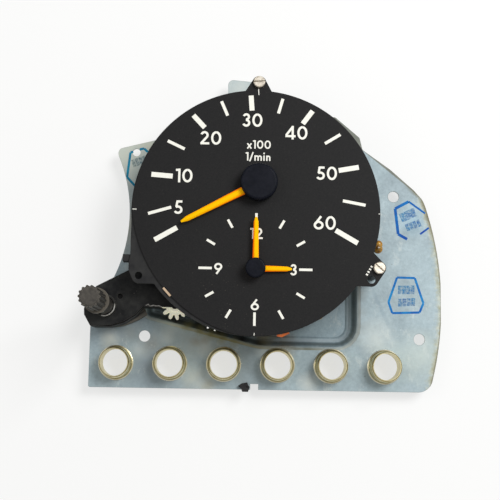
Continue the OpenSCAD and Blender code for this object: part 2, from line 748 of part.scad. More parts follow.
module hour_wheel() {
    color("#d8d4c4")
    difference() {
        union() {
            fine_gear(clock_at, hour_teeth, hour_turn, z_hour, fine_w);
            post(clock_at, deck_hour_r, z_hour - 1.2, z_hour_hand + 0.7);
        }
        post(clock_at, cannon_r + run_gap, z_hour - 3, z_hour_hand + 2);
    }
}
module clock_hand(angle, len, boss, bore, z) {
    translate([clock_at[0], clock_at[1], z])
    difference() {
        union() {
            rotate(angle) needle(boss * 0.7, len, hand_w, hand_w * 0.75, 0.8);
            cylinder(r = boss, h = 0.8);
        }
        translate([0, 0, -1]) cylinder(r = bore, h = 4);
    }
}
module hour_hand() color("#ff7a00") clock_hand(0, hour_len, 3.4, deck_hour_r, z_hour_hand - 0.1);
module minute_hand() color("#ff7a00") clock_hand(90, minute_len, 2.7, cannon_r, z_minute_hand);
module hand_cap() {
    color("#14161d")
    translate([clock_at[0], clock_at[1], z_hand_cap])
    rotate_extrude()
    polygon([
        [centre_r, 0], [clock_cap_r, 0], [clock_cap_r, 1.6], [clock_cap_r - 0.25, 2.05],
        [clock_cap_r - 0.7, 2.3], [0, 2.35], [0, 1.2], [centre_r, 1.2]
    ]);
}

// Setting train
cream_root_r = 4.1;
gear_post_r = 1.5;
module setting_wheel() {
    color("#e6e2d0") {
        coarse_gear(setting_at, setting_big_teeth, setting_turn_big);
        fine_gear(setting_at, setting_small_teeth, setting_turn, z_fine, fine_w);
        post(setting_at, 2.4, z_coarse + coarse_w - eps, z_fine + eps);
        post(setting_at, setting_pivot_r, z_mount + 0.2, z_deck + 1.4);
        post(setting_at, 2, z_mount_top + 0.2, z_coarse + eps);
        post(setting_at, 2, z_fine + fine_w - eps, z_deck - 0.8);
    }
}
setting_turn_big = setting_turn;
module bored_gear(p, teeth, turn, root_r = 0) {
    difference() {
        union() {
            coarse_gear(p, teeth, turn, root_r);
            post(p, 2.6, z_plate + arm_floor_t + 0.2, z_coarse + eps);
            post(p, 2.6, z_coarse + coarse_w - eps, z_cover - 0.2);
        }
        post(p, gear_post_r + run_gap, z_plate, z_cover + 1);
    }
}
module cream_gear() color("#d9d8c2") bored_gear(cream_at, cream_teeth, cream_turn, cream_root_r);
module inner_idler() color("#2b2b2d") bored_gear(inner_at, idler_teeth, inner_turn);
module outer_idler() color("#2b2b2d") bored_gear(outer_at, idler_teeth, outer_turn);
hex_r = 1.9;
journal_r = 2.6;
top_journal_r = 3.4;
module knob_pinion() {
    color("#2b2b2d")
    difference() {
        union() {
            coarse_gear(knob_at, knob_teeth, knob_turn);
            post(knob_at, journal_r - 0.1, z_plate + 0.4, z_coarse + eps);
            post(knob_at, journal_r, z_coarse + coarse_w - eps, z_cover);
            post(knob_at, top_journal_r, z_cover - 0.3, z_arm + 0.2);
        }
        translate([knob_at[0], knob_at[1], z_plate]) cylinder(r = hex_r + 0.08, h = 2 * arm_h, $fn = 6);
    }
}

// Setting arm
arm_floor_t = 1.5;
arm_screw_len = 6;
// Outline of the arm and its cover, whose lower edge lies a ledge further in
function arm_outline(ledge) = rounded([
    [arm_at[0] - 7.8, arm_at[1] - 2.7, 1.5], [arm_at[0] - 7.6, arm_at[1] - 5.6, 1],
    [arm_at[0] - 4.6, arm_at[1] - 10.8, 1], [arm_at[0] + 4.2, arm_at[1] - 10.7 + ledge, 6],
    [arm_at[0] + 10.2 - 0.3 * ledge, arm_at[1] - 9 + ledge, 6],
    [arm_at[0] + 15.4 - 0.6 * ledge, arm_at[1] - 5.6 + 0.7 * ledge, 3],
    [arm_at[0] + 18.9 - 0.6 * ledge, arm_at[1] - 1.6 + 0.3 * ledge, 0.5],
    [cream_at[0] + 4.6, cream_at[1] - 0.9, 0.5], [cream_at[0] + 4.6, cream_at[1] + 12, 2],
    [arm_at[0] + 32.4, arm_at[1] + 19.8, 2], [arm_at[0] + 23.9, arm_at[1] + 21.6, 2],
    [arm_at[0] + 11.3, arm_at[1] + 14.6, 3], [arm_at[0] - 2.8, arm_at[1] + 7.2, 2]
]);
cover_ledge = 0.7;
collar_h = 3.6;
collar_wall = 0.75;
module arm_2d(ledge = 0) {
    polygon(arm_outline(ledge));
    translate(arm_screw_points[1]) circle(screw_r + 1.4);
}
// The room for the gears: one round pocket a gear, joined where they mesh, and open to the clock's side
module arm_room() {
    translate([0, 0, z_plate + arm_floor_t]) {
        linear_extrude(arm_h) {
            translate(knob_at) circle(tip_r(knob_teeth, coarse_m) + 0.5);
            translate(outer_at) circle(tip_r(idler_teeth, coarse_m) + 0.5);
            translate(inner_at) circle(tip_r(idler_teeth, coarse_m) + 0.5);
            translate(cream_at) circle(tip_r(cream_teeth, coarse_m) + 0.5);
            web(knob_at, 3.5, outer_at, 5.5);
            web(inner_at, 5.5, cream_at, 4.5);
            web(inner_at, 5.5, outer_at, 5.5);
            translate(setting_at) circle(tip_r(setting_big_teeth, coarse_m) + 0.5);
            translate([cream_at[0] - 1, cream_at[1] - 8]) square([20, 26]);
        }
    }
}
module setting_arm() {
    color("#1c1c1e")
    difference() {
        union() {
            difference() {
                translate([0, 0, z_plate]) linear_extrude(z_cover - z_plate) arm_2d();
                arm_room();
            }
            for (p = [outer_at, inner_at, cream_at]) post(p, gear_post_r, z_plate, z_cover + 0.8);
        }
        post(knob_at, journal_r - 0.1 + run_gap, z_plate - 1, z_cover);
        for (p = arm_screw_points) post(p, screw_r, z_plate - 1, z_plate + arm_screw_len + 1);
    }
}
module setting_arm_cover() {
    color("#1f1f21")
    difference() {
        union() {
            translate([0, 0, z_cover]) linear_extrude(arm_cover_t) arm_2d(cover_ledge);
            ring(knob_at, collar_r - collar_wall, collar_r, z_arm - eps, z_arm + collar_h);
        }
        post(knob_at, top_journal_r + run_gap, z_cover - 1, z_arm + 1);
        for (p = [outer_at, inner_at, cream_at]) post(p, gear_post_r + 0.02, z_cover - 1, z_cover + 0.9);
        post(arm_at + [8.2, 2.9], 1.2, z_cover + 0.4, z_arm + 1);
    }
}
module arm_screws() {
    color("#c9c3b4")
    for (p = arm_screw_points) down_screw(p, z_back, screw_r, arm_screw_len, head_r, head_h);
}

// Knob, pressed in against its spring
z_knob_top = z_arm + knob_h;
z_sleeve = z_arm + knob_travel + 0.4;
spring_room = 9;
z_grip = z_knob_top - knob_len;
sleeve_r = collar_r - collar_wall - 0.3;
sleeve_wall = 0.75;
grip_bore_r = 2.6;
module knob_stem() {
    color("#1c1c1e") {
        translate([knob_at[0], knob_at[1], z_plate + knob_travel + 0.6])
            cylinder(r = hex_r, h = z_sleeve + spring_room - z_plate - knob_travel - 0.6 + eps, $fn = 6);
        ring(knob_at, sleeve_r - sleeve_wall, sleeve_r, z_sleeve, z_sleeve + spring_room + eps);
        post(knob_at, sleeve_r, z_sleeve + spring_room, z_grip);
        post(knob_at, grip_bore_r, z_grip - eps, z_knob_top - 3);
    }
}
grip_r = knob_r - 0.8;
grip_ring_h = 2;
module setting_knob() {
    color("#3a3735")
    translate([knob_at[0], knob_at[1], 0])
    difference() {
        union() {
            translate([0, 0, z_grip]) cylinder(r = knob_r, h = grip_ring_h);
            translate([0, 0, z_grip + grip_ring_h - eps]) cylinder(r = grip_r - 0.5, h = knob_len - grip_ring_h - 0.8);
            translate([0, 0, z_knob_top - 0.8 - 2 * eps])
                cylinder(r1 = grip_r - 0.5, r2 = grip_r - 1.2, h = 0.8 + 2 * eps);
            for (i = [0:knob_ribs - 1])
                rotate(i * 360 / knob_ribs)
                    translate([grip_r - 0.6, 0, z_grip + 1])
                        cylinder(r = 0.6, h = knob_len - 1.6);
        }
        post([0, 0], grip_bore_r, z_grip - 1, z_knob_top - 3);
    }
}
// A coil spring drawn as a tube along a helix
wire_r = 0.35;
coils = 6;
coil_r = 2.55;
rings_per_coil = 12;
spring_len = z_sleeve + spring_room - z_arm - 0.22;
function coil_at(i) =
    let (a = i * 360 / rings_per_coil)
    [coil_r * cos(a), coil_r * sin(a), wire_r + (spring_len - 2 * wire_r) * i / coils / rings_per_coil];
function least_gap() =
    let (n = coils * rings_per_coil, apart = rings_per_coil / 2)
    min([for (i = [0:n - apart], j = [i + apart:n]) norm(coil_at(i) - coil_at(j))]) - 2 * wire_r;
module helix(wire) {
    n = coils * rings_per_coil;
    pts = [
        for (i = [0:n], k = [0:5])
            let (p = coil_at(i), a = i * 360 / rings_per_coil, b = k * 60)
            p + wire * [cos(b) * cos(a), cos(b) * sin(a), sin(b)]
    ];
    sides = [
        for (i = [0:n - 1], k = [0:5])
            let (a = 6 * i + k, b = 6 * i + (k + 1) % 6)
            each [[a, b, a + 6], [b, b + 6, a + 6]]
    ];
    caps = [[for (k = [5:-1:0]) k], [for (k = [0:5]) 6 * n + k]];
    polyhedron(pts, concat(sides, caps), convexity = 10);
}
module knob_spring() {
    color("#b8babc")
    translate([knob_at[0], knob_at[1], z_arm + 0.21])
        helix(wire_r);
    echo("least gap between the spring's coils", least_gap());
}

// Circuit board in the recess
spigot_r = 1.4;
drive_pin_points = [unit_at + [4, 3], unit_at + [8, 3], unit_at + [12, 3]];
module circuit_board() {
    color("#3f6b4a")
    difference() {
        translate([0, 0, z_board]) linear_extrude(board_t) polygon(rounded([
            concat(board_points[0] - [4, 4], 2), concat(board_points[1] + [4, -4], 2), concat(board_points[2] + [5, 2], 2),
            concat(board_points[2] + [-5, 13], 2), concat(board_points[3] + [4, 13], 2), concat(board_points[3] + [-5, 3], 2)
        ]));
        for (p = board_points) post(p, spigot_r + run_gap, z_board - 1, z_board_top + 1);
        for (s = [-1, 1], t = [-1, 1]) post(tacho_at + [7 * s, 7 * t], 0.5, z_board - 1, z_board_top + 1);
    }
}
module board_spacers() {
    color("#e8e6dd")
    for (p = board_points) {
        post(p, spacer_r, z_panel, z_board);
        post(p, spigot_r, 0.1, z_board_top + eps);
        translate([p[0], p[1], z_board_top]) cylinder(r1 = 2.1, r2 = spigot_r, h = 1.4);
    }
}
chip_size = [19, 6.4, 3];
chip_at = [-26, -14];
module control_chip() {
    color("#222224") {
        translate([chip_at[0], chip_at[1], z_board_top + 0.5]) cube(chip_size);
        for (i = [0:6], side = [0, 1])
            translate([chip_at[0] + 1.6 + i * 2.54, chip_at[1] - 0.7 + side * (chip_size[1] + 0.4), z_board_top])
                cube([0.6, 1, 2.4]);
    }
}
module board_parts() {
    color("#7a6248") {
        for (i = [0:4]) translate([20 + i * 3.6, 6, z_board_top + 1.1]) rotate([-90, 0, 0]) cylinder(r = 1.1, h = 6.5);
        for (i = [0:1]) post([26 + 8 * i, -4], 3.2, z_board_top, z_board_top + 7);
        translate([-28, 0, z_board_top]) cube([8, 3.4, 3.4]);
        translate([-26, 10, z_board_top]) cube([6, 6, 4]);
    }
}
module terminal_block() {
    size = [window_size[0] - 0.6, window_size[1] - 0.6];
    color("#1c1c1e")
    translate([window_at[0] - size[0] / 2, window_at[1] - size[1] / 2, 0.4])
    difference() {
        cube([size[0], size[1], z_board - 0.4]);
        for (i = [0:5]) translate([1.6 + i * 4, 2.2, -1]) cube([2.4, 5, 2.6]);
    }
}
module coil_pins() {
    color("#c9a84a")
    for (s = [-1, 1], t = [-1, 1]) post(tacho_at + [7 * s, 7 * t], 0.45, z_board - 0.6, z_bobbin);
}
module drive_pins() {
    color("#c9a84a")
    for (p = drive_pin_points) post(p, 0.45, z_board_top - 0.01, z_mount_top);
}

carrier_plate();
light_tubes();
edge_clip();
lacquer_seal();
gauge_frame();
frame_screws();
dial_plate();
dial_screws();
tacho_can();
tacho_bobbin_lower();
tacho_bobbin_upper();
tacho_coils();
tacho_bearing();
tacho_magnet();
tacho_spindle();
tacho_hairspring();
tacho_pointer();
tacho_cap();
movement_plate();
movement_screws();
clock_drive_unit();
drive_pinion();
centre_wheel();
cannon_pinion();
minute_wheel();
hour_wheel();
minute_hand();
hour_hand();
hand_cap();
setting_wheel();
cream_gear();
inner_idler();
outer_idler();
knob_pinion();
setting_arm();
setting_arm_cover();
arm_screws();
knob_stem();
setting_knob();
knob_spring();
circuit_board();
board_spacers();
control_chip();
board_parts();
terminal_block();
coil_pins();
drive_pins();
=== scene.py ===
# %% [markdown]
# # Dressing a rev counter
# The solid model arrives finished from CAD: every plate, gear and screw already has its true size and place.
# This notebook gives it its looks. It sets up the camera and the light, mixes a finish for each real material,
# and adds what is too thin to be a solid: the printed dial, the ink stamps and a few scraps of film and paint.

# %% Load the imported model
import math
import bmesh
import bpy
from mathutils import Matrix, Vector


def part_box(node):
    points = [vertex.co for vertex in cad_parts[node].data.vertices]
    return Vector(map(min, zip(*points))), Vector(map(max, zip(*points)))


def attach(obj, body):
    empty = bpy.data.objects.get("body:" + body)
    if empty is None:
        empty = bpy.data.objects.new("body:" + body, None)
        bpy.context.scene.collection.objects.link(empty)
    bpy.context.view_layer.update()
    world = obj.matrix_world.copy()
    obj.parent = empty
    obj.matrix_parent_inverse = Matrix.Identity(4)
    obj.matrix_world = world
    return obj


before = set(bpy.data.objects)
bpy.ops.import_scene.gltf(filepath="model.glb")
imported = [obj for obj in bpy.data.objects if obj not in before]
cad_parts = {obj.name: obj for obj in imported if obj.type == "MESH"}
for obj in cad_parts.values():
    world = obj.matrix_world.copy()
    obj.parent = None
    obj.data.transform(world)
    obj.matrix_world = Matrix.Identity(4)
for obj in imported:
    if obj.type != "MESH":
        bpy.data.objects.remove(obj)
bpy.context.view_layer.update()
MM = 0.001

# %% [markdown]
# ## Where things lie
# The dial is the reference for everything printed on it. Its height and the two shafts are read from the
# solids' own boxes, so the print stays on the dial if the dial moves.

# %% Read the levels and shafts from the solids
def middle(node):
    low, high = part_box(node)
    return (low + high) / 2 / MM

dial_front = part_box("dial_plate")[1].z / MM
sheet_front = dial_front - 25.3
tacho = middle("tacho_cap")
clock = middle("hand_cap")
print("dial front at", round(dial_front, 2), "mm; rev counter axis", tacho.xy, "clock axis", clock.xy)

# %% [markdown]
# ## Camera
# The photograph was taken from a little below the dial's centre line and about 46 cm away. The lens is
# long, so the tubes and the knob lean only a little. The pose comes from fitting the round dial, the tick
# marks and the row of tubes to the picture.

# %% Set the camera
def add_camera(place_mm, turn_deg, lens_mm):
    data = bpy.data.cameras.new("photo_camera")
    data.lens = lens_mm
    data.sensor_width = 36
    data.clip_start = 0.01
    data.clip_end = 10
    camera = bpy.data.objects.new("photo_camera", data)
    bpy.context.scene.collection.objects.link(camera)
    camera.location = Vector(place_mm) * MM
    camera.rotation_euler = [math.radians(a) for a in turn_deg]
    bpy.context.scene.camera = camera
    return camera

camera = add_camera(place_mm=(-9.291, -74.622, 458.558), turn_deg=(7.645, -1.052, 0.965), lens_mm=70.28)
print("camera at", [round(v, 3) for v in camera.location])

# %% [markdown]
# ## Light and floor
# A white world gives the even light of a photo tent. One broad lamp from the upper right adds the soft
# shadows that fall to the lower left of the hubs. The floor is white paper, lit partly from below like a
# light table, so it stays white in the open holes and keeps a pale contact shadow.

# %% Set the world and the lamps
TENT_LEVEL = 0.45
scene = bpy.context.scene
scene.view_settings.view_transform = "Standard"
world = bpy.data.worlds.new("photo_tent")
scene.world = world
world.use_nodes = True
tent = world.node_tree.nodes["Background"]
tent.inputs["Color"].default_value = (1, 1, 1, 1)
tent.inputs["Strength"].default_value = TENT_LEVEL

def add_softbox(name, place, size, watts, aim=(0, 0, 0.02)):
    data = bpy.data.lights.new(name, "AREA")
    data.shape = "SQUARE"
    data.size = size
    data.energy = watts
    lamp = bpy.data.objects.new(name, data)
    scene.collection.objects.link(lamp)
    lamp.location = place
    lamp.rotation_euler = (Vector(aim) - Vector(place)).to_track_quat("-Z", "Y").to_euler()
    return lamp

add_softbox("softbox_right", place=(0.42, 0.30, 0.75), size=0.40, watts=5.6)
add_softbox("softbox_left", place=(-0.6, 0.1, 0.7), size=0.5, watts=0.8)

# %% Lay the paper floor
FLOOR_HALF = 1.5
FLOOR_LEVEL = -0.0002
LIT_SHARE = 0.64

def add_floor():
    corners = [(x * FLOOR_HALF, y * FLOOR_HALF, FLOOR_LEVEL) for x, y in ((-1, -1), (1, -1), (1, 1), (-1, 1))]
    mesh = bpy.data.meshes.new("paper_floor")
    mesh.from_pydata(corners, [], [(0, 1, 2, 3)])
    floor = bpy.data.objects.new("paper_floor", mesh)
    scene.collection.objects.link(floor)
    return floor

floor = add_floor()
paper = bpy.data.materials.new("white_paper")
paper.use_nodes = True
paper_nodes, paper_links = paper.node_tree.nodes, paper.node_tree.links
lit_from_above = paper_nodes["Principled BSDF"]
lit_from_above.inputs["Base Color"].default_value = (0.94, 0.94, 0.935, 1)
lit_from_above.inputs["Roughness"].default_value = 1.0
lit_from_above.inputs["Specular IOR Level"].default_value = 0.0
lit_from_below = paper_nodes.new("ShaderNodeEmission")
lit_from_below.inputs["Color"].default_value = (0.985, 0.985, 0.975, 1)
blend = paper_nodes.new("ShaderNodeMixShader")
blend.inputs["Fac"].default_value = LIT_SHARE
paper_links.new(lit_from_above.outputs[0], blend.inputs[1])
paper_links.new(lit_from_below.outputs[0], blend.inputs[2])
paper_links.new(blend.outputs[0], paper_nodes["Material Output"].inputs["Surface"])
floor.data.materials.append(paper)
print("paper lies at", round(FLOOR_LEVEL / MM, 2), "mm")

# %% [markdown]
# ## Finishes, layer by layer
# A real surface is never one flat colour. Each finish here starts from a plain shader and gets layers: a
# broad mottling, a fine grain, and a bump for the light to catch. The layers read the object's own
# coordinates, so they need no unwrapping and travel with a part that turns.

# %% Tools for building a finish
class Finish:
    """One material, built up in layers. Its sizes and distances are in mm."""
    BEVEL_SAMPLES = 4

    def __init__(self, name, colour, rough, metal=0.0):
        self.mat = bpy.data.materials.new(name)
        self.mat.use_nodes = True
        self.tree = self.mat.node_tree
        self.shader = self.tree.nodes["Principled BSDF"]
        self.shader.inputs["Base Color"].default_value = (*colour, 1)
        self.shader.inputs["Roughness"].default_value = rough
        self.shader.inputs["Metallic"].default_value = metal
        self.mat.diffuse_color = (*colour, 1)
        self.coords = self.tree.nodes.new("ShaderNodeTexCoord").outputs["Object"]

    def noise(self, size_mm, detail=4.0, rough=0.55, stretch=(1, 1, 1)):
        place = self.tree.nodes.new("ShaderNodeMapping")
        place.inputs["Scale"].default_value = [s / (size_mm * MM) for s in stretch]
        self.tree.links.new(self.coords, place.inputs["Vector"])
        cloud = self.tree.nodes.new("ShaderNodeTexNoise")
        cloud.inputs["Scale"].default_value = 1.0
        cloud.inputs["Detail"].default_value = detail
        cloud.inputs["Roughness"].default_value = rough
        self.tree.links.new(place.outputs["Vector"], cloud.inputs["Vector"])
        return cloud.outputs["Fac"]

    def cells(self, size_mm):
        dots = self.tree.nodes.new("ShaderNodeTexVoronoi")
        dots.inputs["Scale"].default_value = 1 / (size_mm * MM)
        self.tree.links.new(self.coords, dots.inputs["Vector"])
        return dots.outputs["Distance"]

    def ramp(self, fac, *stops):
        band = self.tree.nodes.new("ShaderNodeValToRGB")
        for i, (place, colour) in enumerate(stops):
            stop = band.color_ramp.elements[i] if i < 2 else band.color_ramp.elements.new(place)
            stop.position = place
            stop.color = (*colour, 1) if isinstance(colour, tuple) else (colour, colour, colour, 1)
        self.tree.links.new(fac, band.inputs["Fac"])
        return band.outputs["Color"]

    def mix(self, fac, a, b, kind="MIX"):
        node = self.tree.nodes.new("ShaderNodeMix")
        node.data_type = "RGBA"
        node.blend_type = kind
        for socket, value in ((node.inputs["Factor"], fac), (node.inputs["A"], a), (node.inputs["B"], b)):
            if isinstance(value, tuple):
                socket.default_value = (*value, 1)
            elif isinstance(value, float):
                socket.default_value = value
            else:
                self.tree.links.new(value, socket)
        return node.outputs["Result"]

    def math(self, kind, a, b=0.0):
        node = self.tree.nodes.new("ShaderNodeMath")
        node.operation = kind
        for socket, value in zip(node.inputs, (a, b)):
            if isinstance(value, (int, float)):
                socket.default_value = value
            else:
                self.tree.links.new(value, socket)
        return node.outputs[0]

    def ragged(self, value, cloud, swing):
        """A value with a noise added, so that a band along it gets a ragged rim."""
        return self.math("ADD", value, self.math("MULTIPLY", cloud, swing))

    def ramp_over(self, value, span, *stops):
        """A ramp on which 1 stands for the whole span."""
        return self.ramp(self.math("DIVIDE", value, span), *stops)

    def distance_from(self, point_mm):
        """Distance in mm from a point, measured flat across the plate."""
        gap = self.tree.nodes.new("ShaderNodeVectorMath")
        gap.operation = "DISTANCE"
        flat = self.tree.nodes.new("ShaderNodeVectorMath")
        flat.operation = "MULTIPLY"
        flat.inputs[1].default_value = (1 / MM, 1 / MM, 0)
        self.tree.links.new(self.coords, flat.inputs[0])
        self.tree.links.new(flat.outputs[0], gap.inputs[0])
        gap.inputs[1].default_value = (*point_mm, 0)
        return gap.outputs["Value"]

    def height_mm(self):
        split = self.tree.nodes.new("ShaderNodeSeparateXYZ")
        self.tree.links.new(self.coords, split.inputs["Vector"])
        return self.math("DIVIDE", split.outputs["Z"], MM)

    def edges(self, radius_mm, start=0.04, full=0.25):
        """1 on the solid's sharp edges, 0 on its flats."""
        soft = self.tree.nodes.new("ShaderNodeBevel")
        soft.samples = self.BEVEL_SAMPLES
        soft.inputs["Radius"].default_value = radius_mm * MM
        along = self.tree.nodes.new("ShaderNodeVectorMath")
        along.operation = "DOT_PRODUCT"
        self.tree.links.new(soft.outputs["Normal"], along.inputs[0])
        self.tree.links.new(self.tree.nodes.new("ShaderNodeNewGeometry").outputs["Normal"], along.inputs[1])
        return self.ramp(self.math("SUBTRACT", 1.0, along.outputs["Value"]), (start, 0.0), (full, 1.0))

    def beside(self, start_mm, end_mm):
        """Distance in mm to the right of the straight line from one point to another."""
        run = Vector(end_mm) - Vector(start_mm)
        normal = Vector((run.y, -run.x)).normalized()
        along = self.tree.nodes.new("ShaderNodeVectorMath")
        along.operation = "DOT_PRODUCT"
        along.inputs[1].default_value = (normal.x / MM, normal.y / MM, 0)
        self.tree.links.new(self.coords, along.inputs[0])
        return self.math("SUBTRACT", along.outputs["Value"], normal.dot(Vector(start_mm)))

    def tinge(self, below, point_mm, reach_mm, tint, strength):
        """Mix a tint into the colour below it round one point, with a ragged rim."""
        away = self.ragged(self.distance_from(point_mm), self.noise(7, 5, 0.65), reach_mm)
        near = self.ramp_over(away, 2 * reach_mm, (0.28, strength), (0.80, 0.0))
        return self.mix(near, below, tint)

    def shine(self, level):
        self.shader.inputs["Specular IOR Level"].default_value = level
        return self

    def colour(self, socket):
        self.tree.links.new(socket, self.shader.inputs["Base Color"])
        return self

    def rough(self, socket):
        self.tree.links.new(socket, self.shader.inputs["Roughness"])
        return self

    def bump(self, height, depth_mm, edge_mm=0.0):
        push = self.tree.nodes.new("ShaderNodeBump")
        push.inputs["Distance"].default_value = depth_mm * MM
        push.inputs["Strength"].default_value = 1.0
        self.tree.links.new(height, push.inputs["Height"])
        if edge_mm:
            edge = self.tree.nodes.new("ShaderNodeBevel")
            edge.samples = self.BEVEL_SAMPLES
            edge.inputs["Radius"].default_value = edge_mm * MM
            self.tree.links.new(edge.outputs["Normal"], push.inputs["Normal"])
        self.tree.links.new(push.outputs["Normal"], self.shader.inputs["Normal"])
        return self

painted = set()

def paint(finish, *nodes):
    """Give CAD nodes a finish. Only their material changes."""
    for name in nodes:
        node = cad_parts[name]
        node.data.materials.clear()
        node.data.materials.append(finish.mat)
        for face in node.data.polygons:
            face.material_index = 0
        painted.add(name)

print("finish tools ready")

# %% [markdown]
# ## Zinc on sheet steel
# The plate is plated, not painted. Old zinc goes dull and blue-grey, with clouds, slate round the left tubes,
# and pale or brown patches; the patches stand partly for stains and partly for painted reflections. A broad noise
# makes the clouds. Each patch is an entry in a table: where it is, how far it reaches, its colour and its strength.

# %% Zinc: clouds, patches and specks
SLATE = (0.17, 0.215, 0.25)
GREEN_GREY = (0.56, 0.60, 0.53)
PALE = (0.62, 0.67, 0.64)
BROWN = (0.24, 0.17, 0.09)
zinc = Finish("zinc_plate", (0.36, 0.44, 0.48), 0.5, 0.25)
clouds = zinc.ramp(zinc.noise(16, 6, 0.62), (0.32, (0.28, 0.36, 0.40)), (0.50, (0.35, 0.45, 0.49)),
                   (0.68, (0.41, 0.51, 0.55)))
streaks = zinc.ramp(zinc.noise(1.6, 5, 0.75), (0.33, (0.72, 0.74, 0.75)), (0.62, (1.0, 1.0, 1.0)))
coat = zinc.mix(0.8, clouds, streaks, "MULTIPLY")
# Stains and painted reflections, laid as one table of patches.
patches = [
    ((-46, -66), 24, SLATE, 0.75), ((-5, -68), 22, SLATE, 0.65), ((32, -68), 15, SLATE, 0.5),
    ((-66, -52), 12, SLATE, 0.5), ((-62, 24), 17, GREEN_GREY, 0.9), ((-61, -4), 15, (0.50, 0.49, 0.40), 0.8),
    ((-8, 63), 14, PALE, 0.8), ((-21, -75), 7, PALE, 0.6), ((26, -75), 6, PALE, 0.75), ((-52, -61), 5, PALE, 0.4),
    ((-22, -59), 5, PALE, 0.6), ((57, -54), 10, PALE, 0.6), ((5, -61), 4, PALE, 0.5),
    ((78, -62), 14, (0.55, 0.62, 0.56), 0.6), ((74, 1), 8, (0.25, 0.43, 0.55), 0.6),
    ((-65.7, -55.2), 5, PALE, 0.6), ((-39.4, -54.5), 4, (0.60, 0.64, 0.60), 0.6),
    ((-28, -73.4), 7, (0.52, 0.55, 0.48), 0.65), ((-20, -76.5), 3.5, (0.42, 0.39, 0.27), 0.6),
    ((-56.4, -53.8), 6, (0.22, 0.25, 0.24), 0.7), ((-47.2, -58.2), 6, (0.25, 0.235, 0.19), 0.6),
    ((-49.5, -70), 7, (0.22, 0.27, 0.31), 0.6), ((-60, 33), 13, (0.60, 0.63, 0.53), 0.75),
    ((-50, 35), 7, (0.62, 0.62, 0.48), 0.7), ((-38, -52), 9, (0.44, 0.50, 0.49), 0.7),
    ((-27, -58), 8, (0.42, 0.47, 0.45), 0.7), ((-13, -61), 6, (0.42, 0.46, 0.42), 0.7),
    ((-26.1, -56.7), 3, BROWN, 0.4), ((-22.0, -55.9), 2.5, BROWN, 0.4), ((14, -57.5), 7, BROWN, 0.7),
    ((4, -53), 6, (0.38, 0.33, 0.20), 0.7), ((-66, -58), 5, (0.40, 0.37, 0.27), 0.4)]
for point, reach, tint, strength in patches:
    coat = zinc.tinge(coat, point, reach, tint, strength)
scuffs = zinc.ramp(zinc.noise(7, 7, 0.8, (1.0, 0.6, 1.0)), (0.56, 0.0), (0.66, 0.45))
coat = zinc.mix(scuffs, coat, PALE)
specks = zinc.math("MULTIPLY", zinc.ramp(zinc.cells(7), (0.025, 1.0), (0.06, 0.0)),
                   zinc.ramp(zinc.noise(30, 2), (0.48, 0.0), (0.56, 0.8)))
coat = zinc.mix(specks, coat, (0.05, 0.045, 0.03))
print("patches on the plate:", len(patches))

# %% [markdown]
# ## The wall and lip of the recess
# The recess is pressed into the sheet. Its floor is a little darker. The foot of its wall is lightened as painted
# light, and its upper wall is darkened as painted shade. The trough at the left, under the dial and the arm, gets a
# painted shadow, and the lip a painted highlight that is pale and gold on the left and dark olive toward the right.
# Olive and grey smears lie along the lip and the right wall. Height tells where each of them is: on these ramps, 1
# stands for 10 mm above the back of the recess.

# %% Zinc: the recess
WALL_SPAN = 10
TROUGH_SHADOW = (0.018, 0.014, 0.008)
OLIVE_SMEAR, GREY_SMEAR = (0.30, 0.28, 0.13), (0.26, 0.29, 0.27)
level = zinc.math("DIVIDE", zinc.height_mm(), WALL_SPAN)
# The recess floor is made a little darker, the foot of the wall is lightened as painted light, and the upper wall is
# darkened as painted shade.
recess_floor = zinc.ramp(level, (0.125, 0.30), (0.145, 0.0))
wall_foot_light = zinc.ramp(level, (0.14, 0.0), (0.20, 0.5), (0.34, 0.5), (0.36, 0.0))
upper_wall_shade = zinc.ramp(level, (0.34, 0.0), (0.46, 0.72), (0.56, 0.72), (0.66, 0.35), (0.74, 0.0))
coat = zinc.mix(recess_floor, coat, (0.10, 0.14, 0.16))
coat = zinc.mix(wall_foot_light, coat, (0.62, 0.70, 0.74))
coat = zinc.mix(upper_wall_shade, coat, (0.06, 0.08, 0.08))
# Painted shadow: the trough at the left, under the dial and the arm, is darkened where shade falls.
shadowed_trough = coat
for point, reach in [((-36, -45), 9), ((-25, -49.5), 8), ((-15, -53), 7), ((-5, -55.5), 6), ((3, -57), 4)]:
    shadowed_trough = zinc.tinge(shadowed_trough, point, reach, TROUGH_SHADOW, 0.95)
coat = zinc.mix(zinc.ramp(level, (0.68, 1.0), (0.74, 0.0)), coat, shadowed_trough)
coat = zinc.tinge(coat, (6, -53.8), 5, (0.36, 0.32, 0.20), 0.8)
# Painted highlight along the lip: pale and gold on the left, darkened to olive toward the right.
lip_highlight_colour = zinc.tinge((0.58, 0.63, 0.60), (-14, -55), 28, (0.50, 0.44, 0.17), 1.0)
lip_highlight_colour = zinc.tinge(lip_highlight_colour, (26, -57), 20, (0.17, 0.17, 0.115), 1.0)
lip = zinc.ramp(level, (0.70, 0.0), (0.765, 0.9), (0.795, 0.9), (0.80, 0.0))
coat = zinc.mix(lip, coat, lip_highlight_colour)
smears = [((-30, -49.6), 3.2, 0.75), ((-24.4, -51.6), 3.2, 0.85), ((-19.3, -53.4), 3.2, 0.85),
          ((-14.2, -55.2), 3.2, 0.8), ((-8.7, -57), 3, 0.6), ((49.8, -34.5), 4, 0.35), ((49.8, -42), 4, 0.35),
          ((49.6, -49), 4, 0.4), ((46.6, -55), 4, 0.5)]
for point, reach, strength in smears:
    coat = zinc.tinge(coat, point, reach, OLIVE_SMEAR if point[0] < 0 else GREY_SMEAR, strength)
print("smears along the lip:", len(smears))
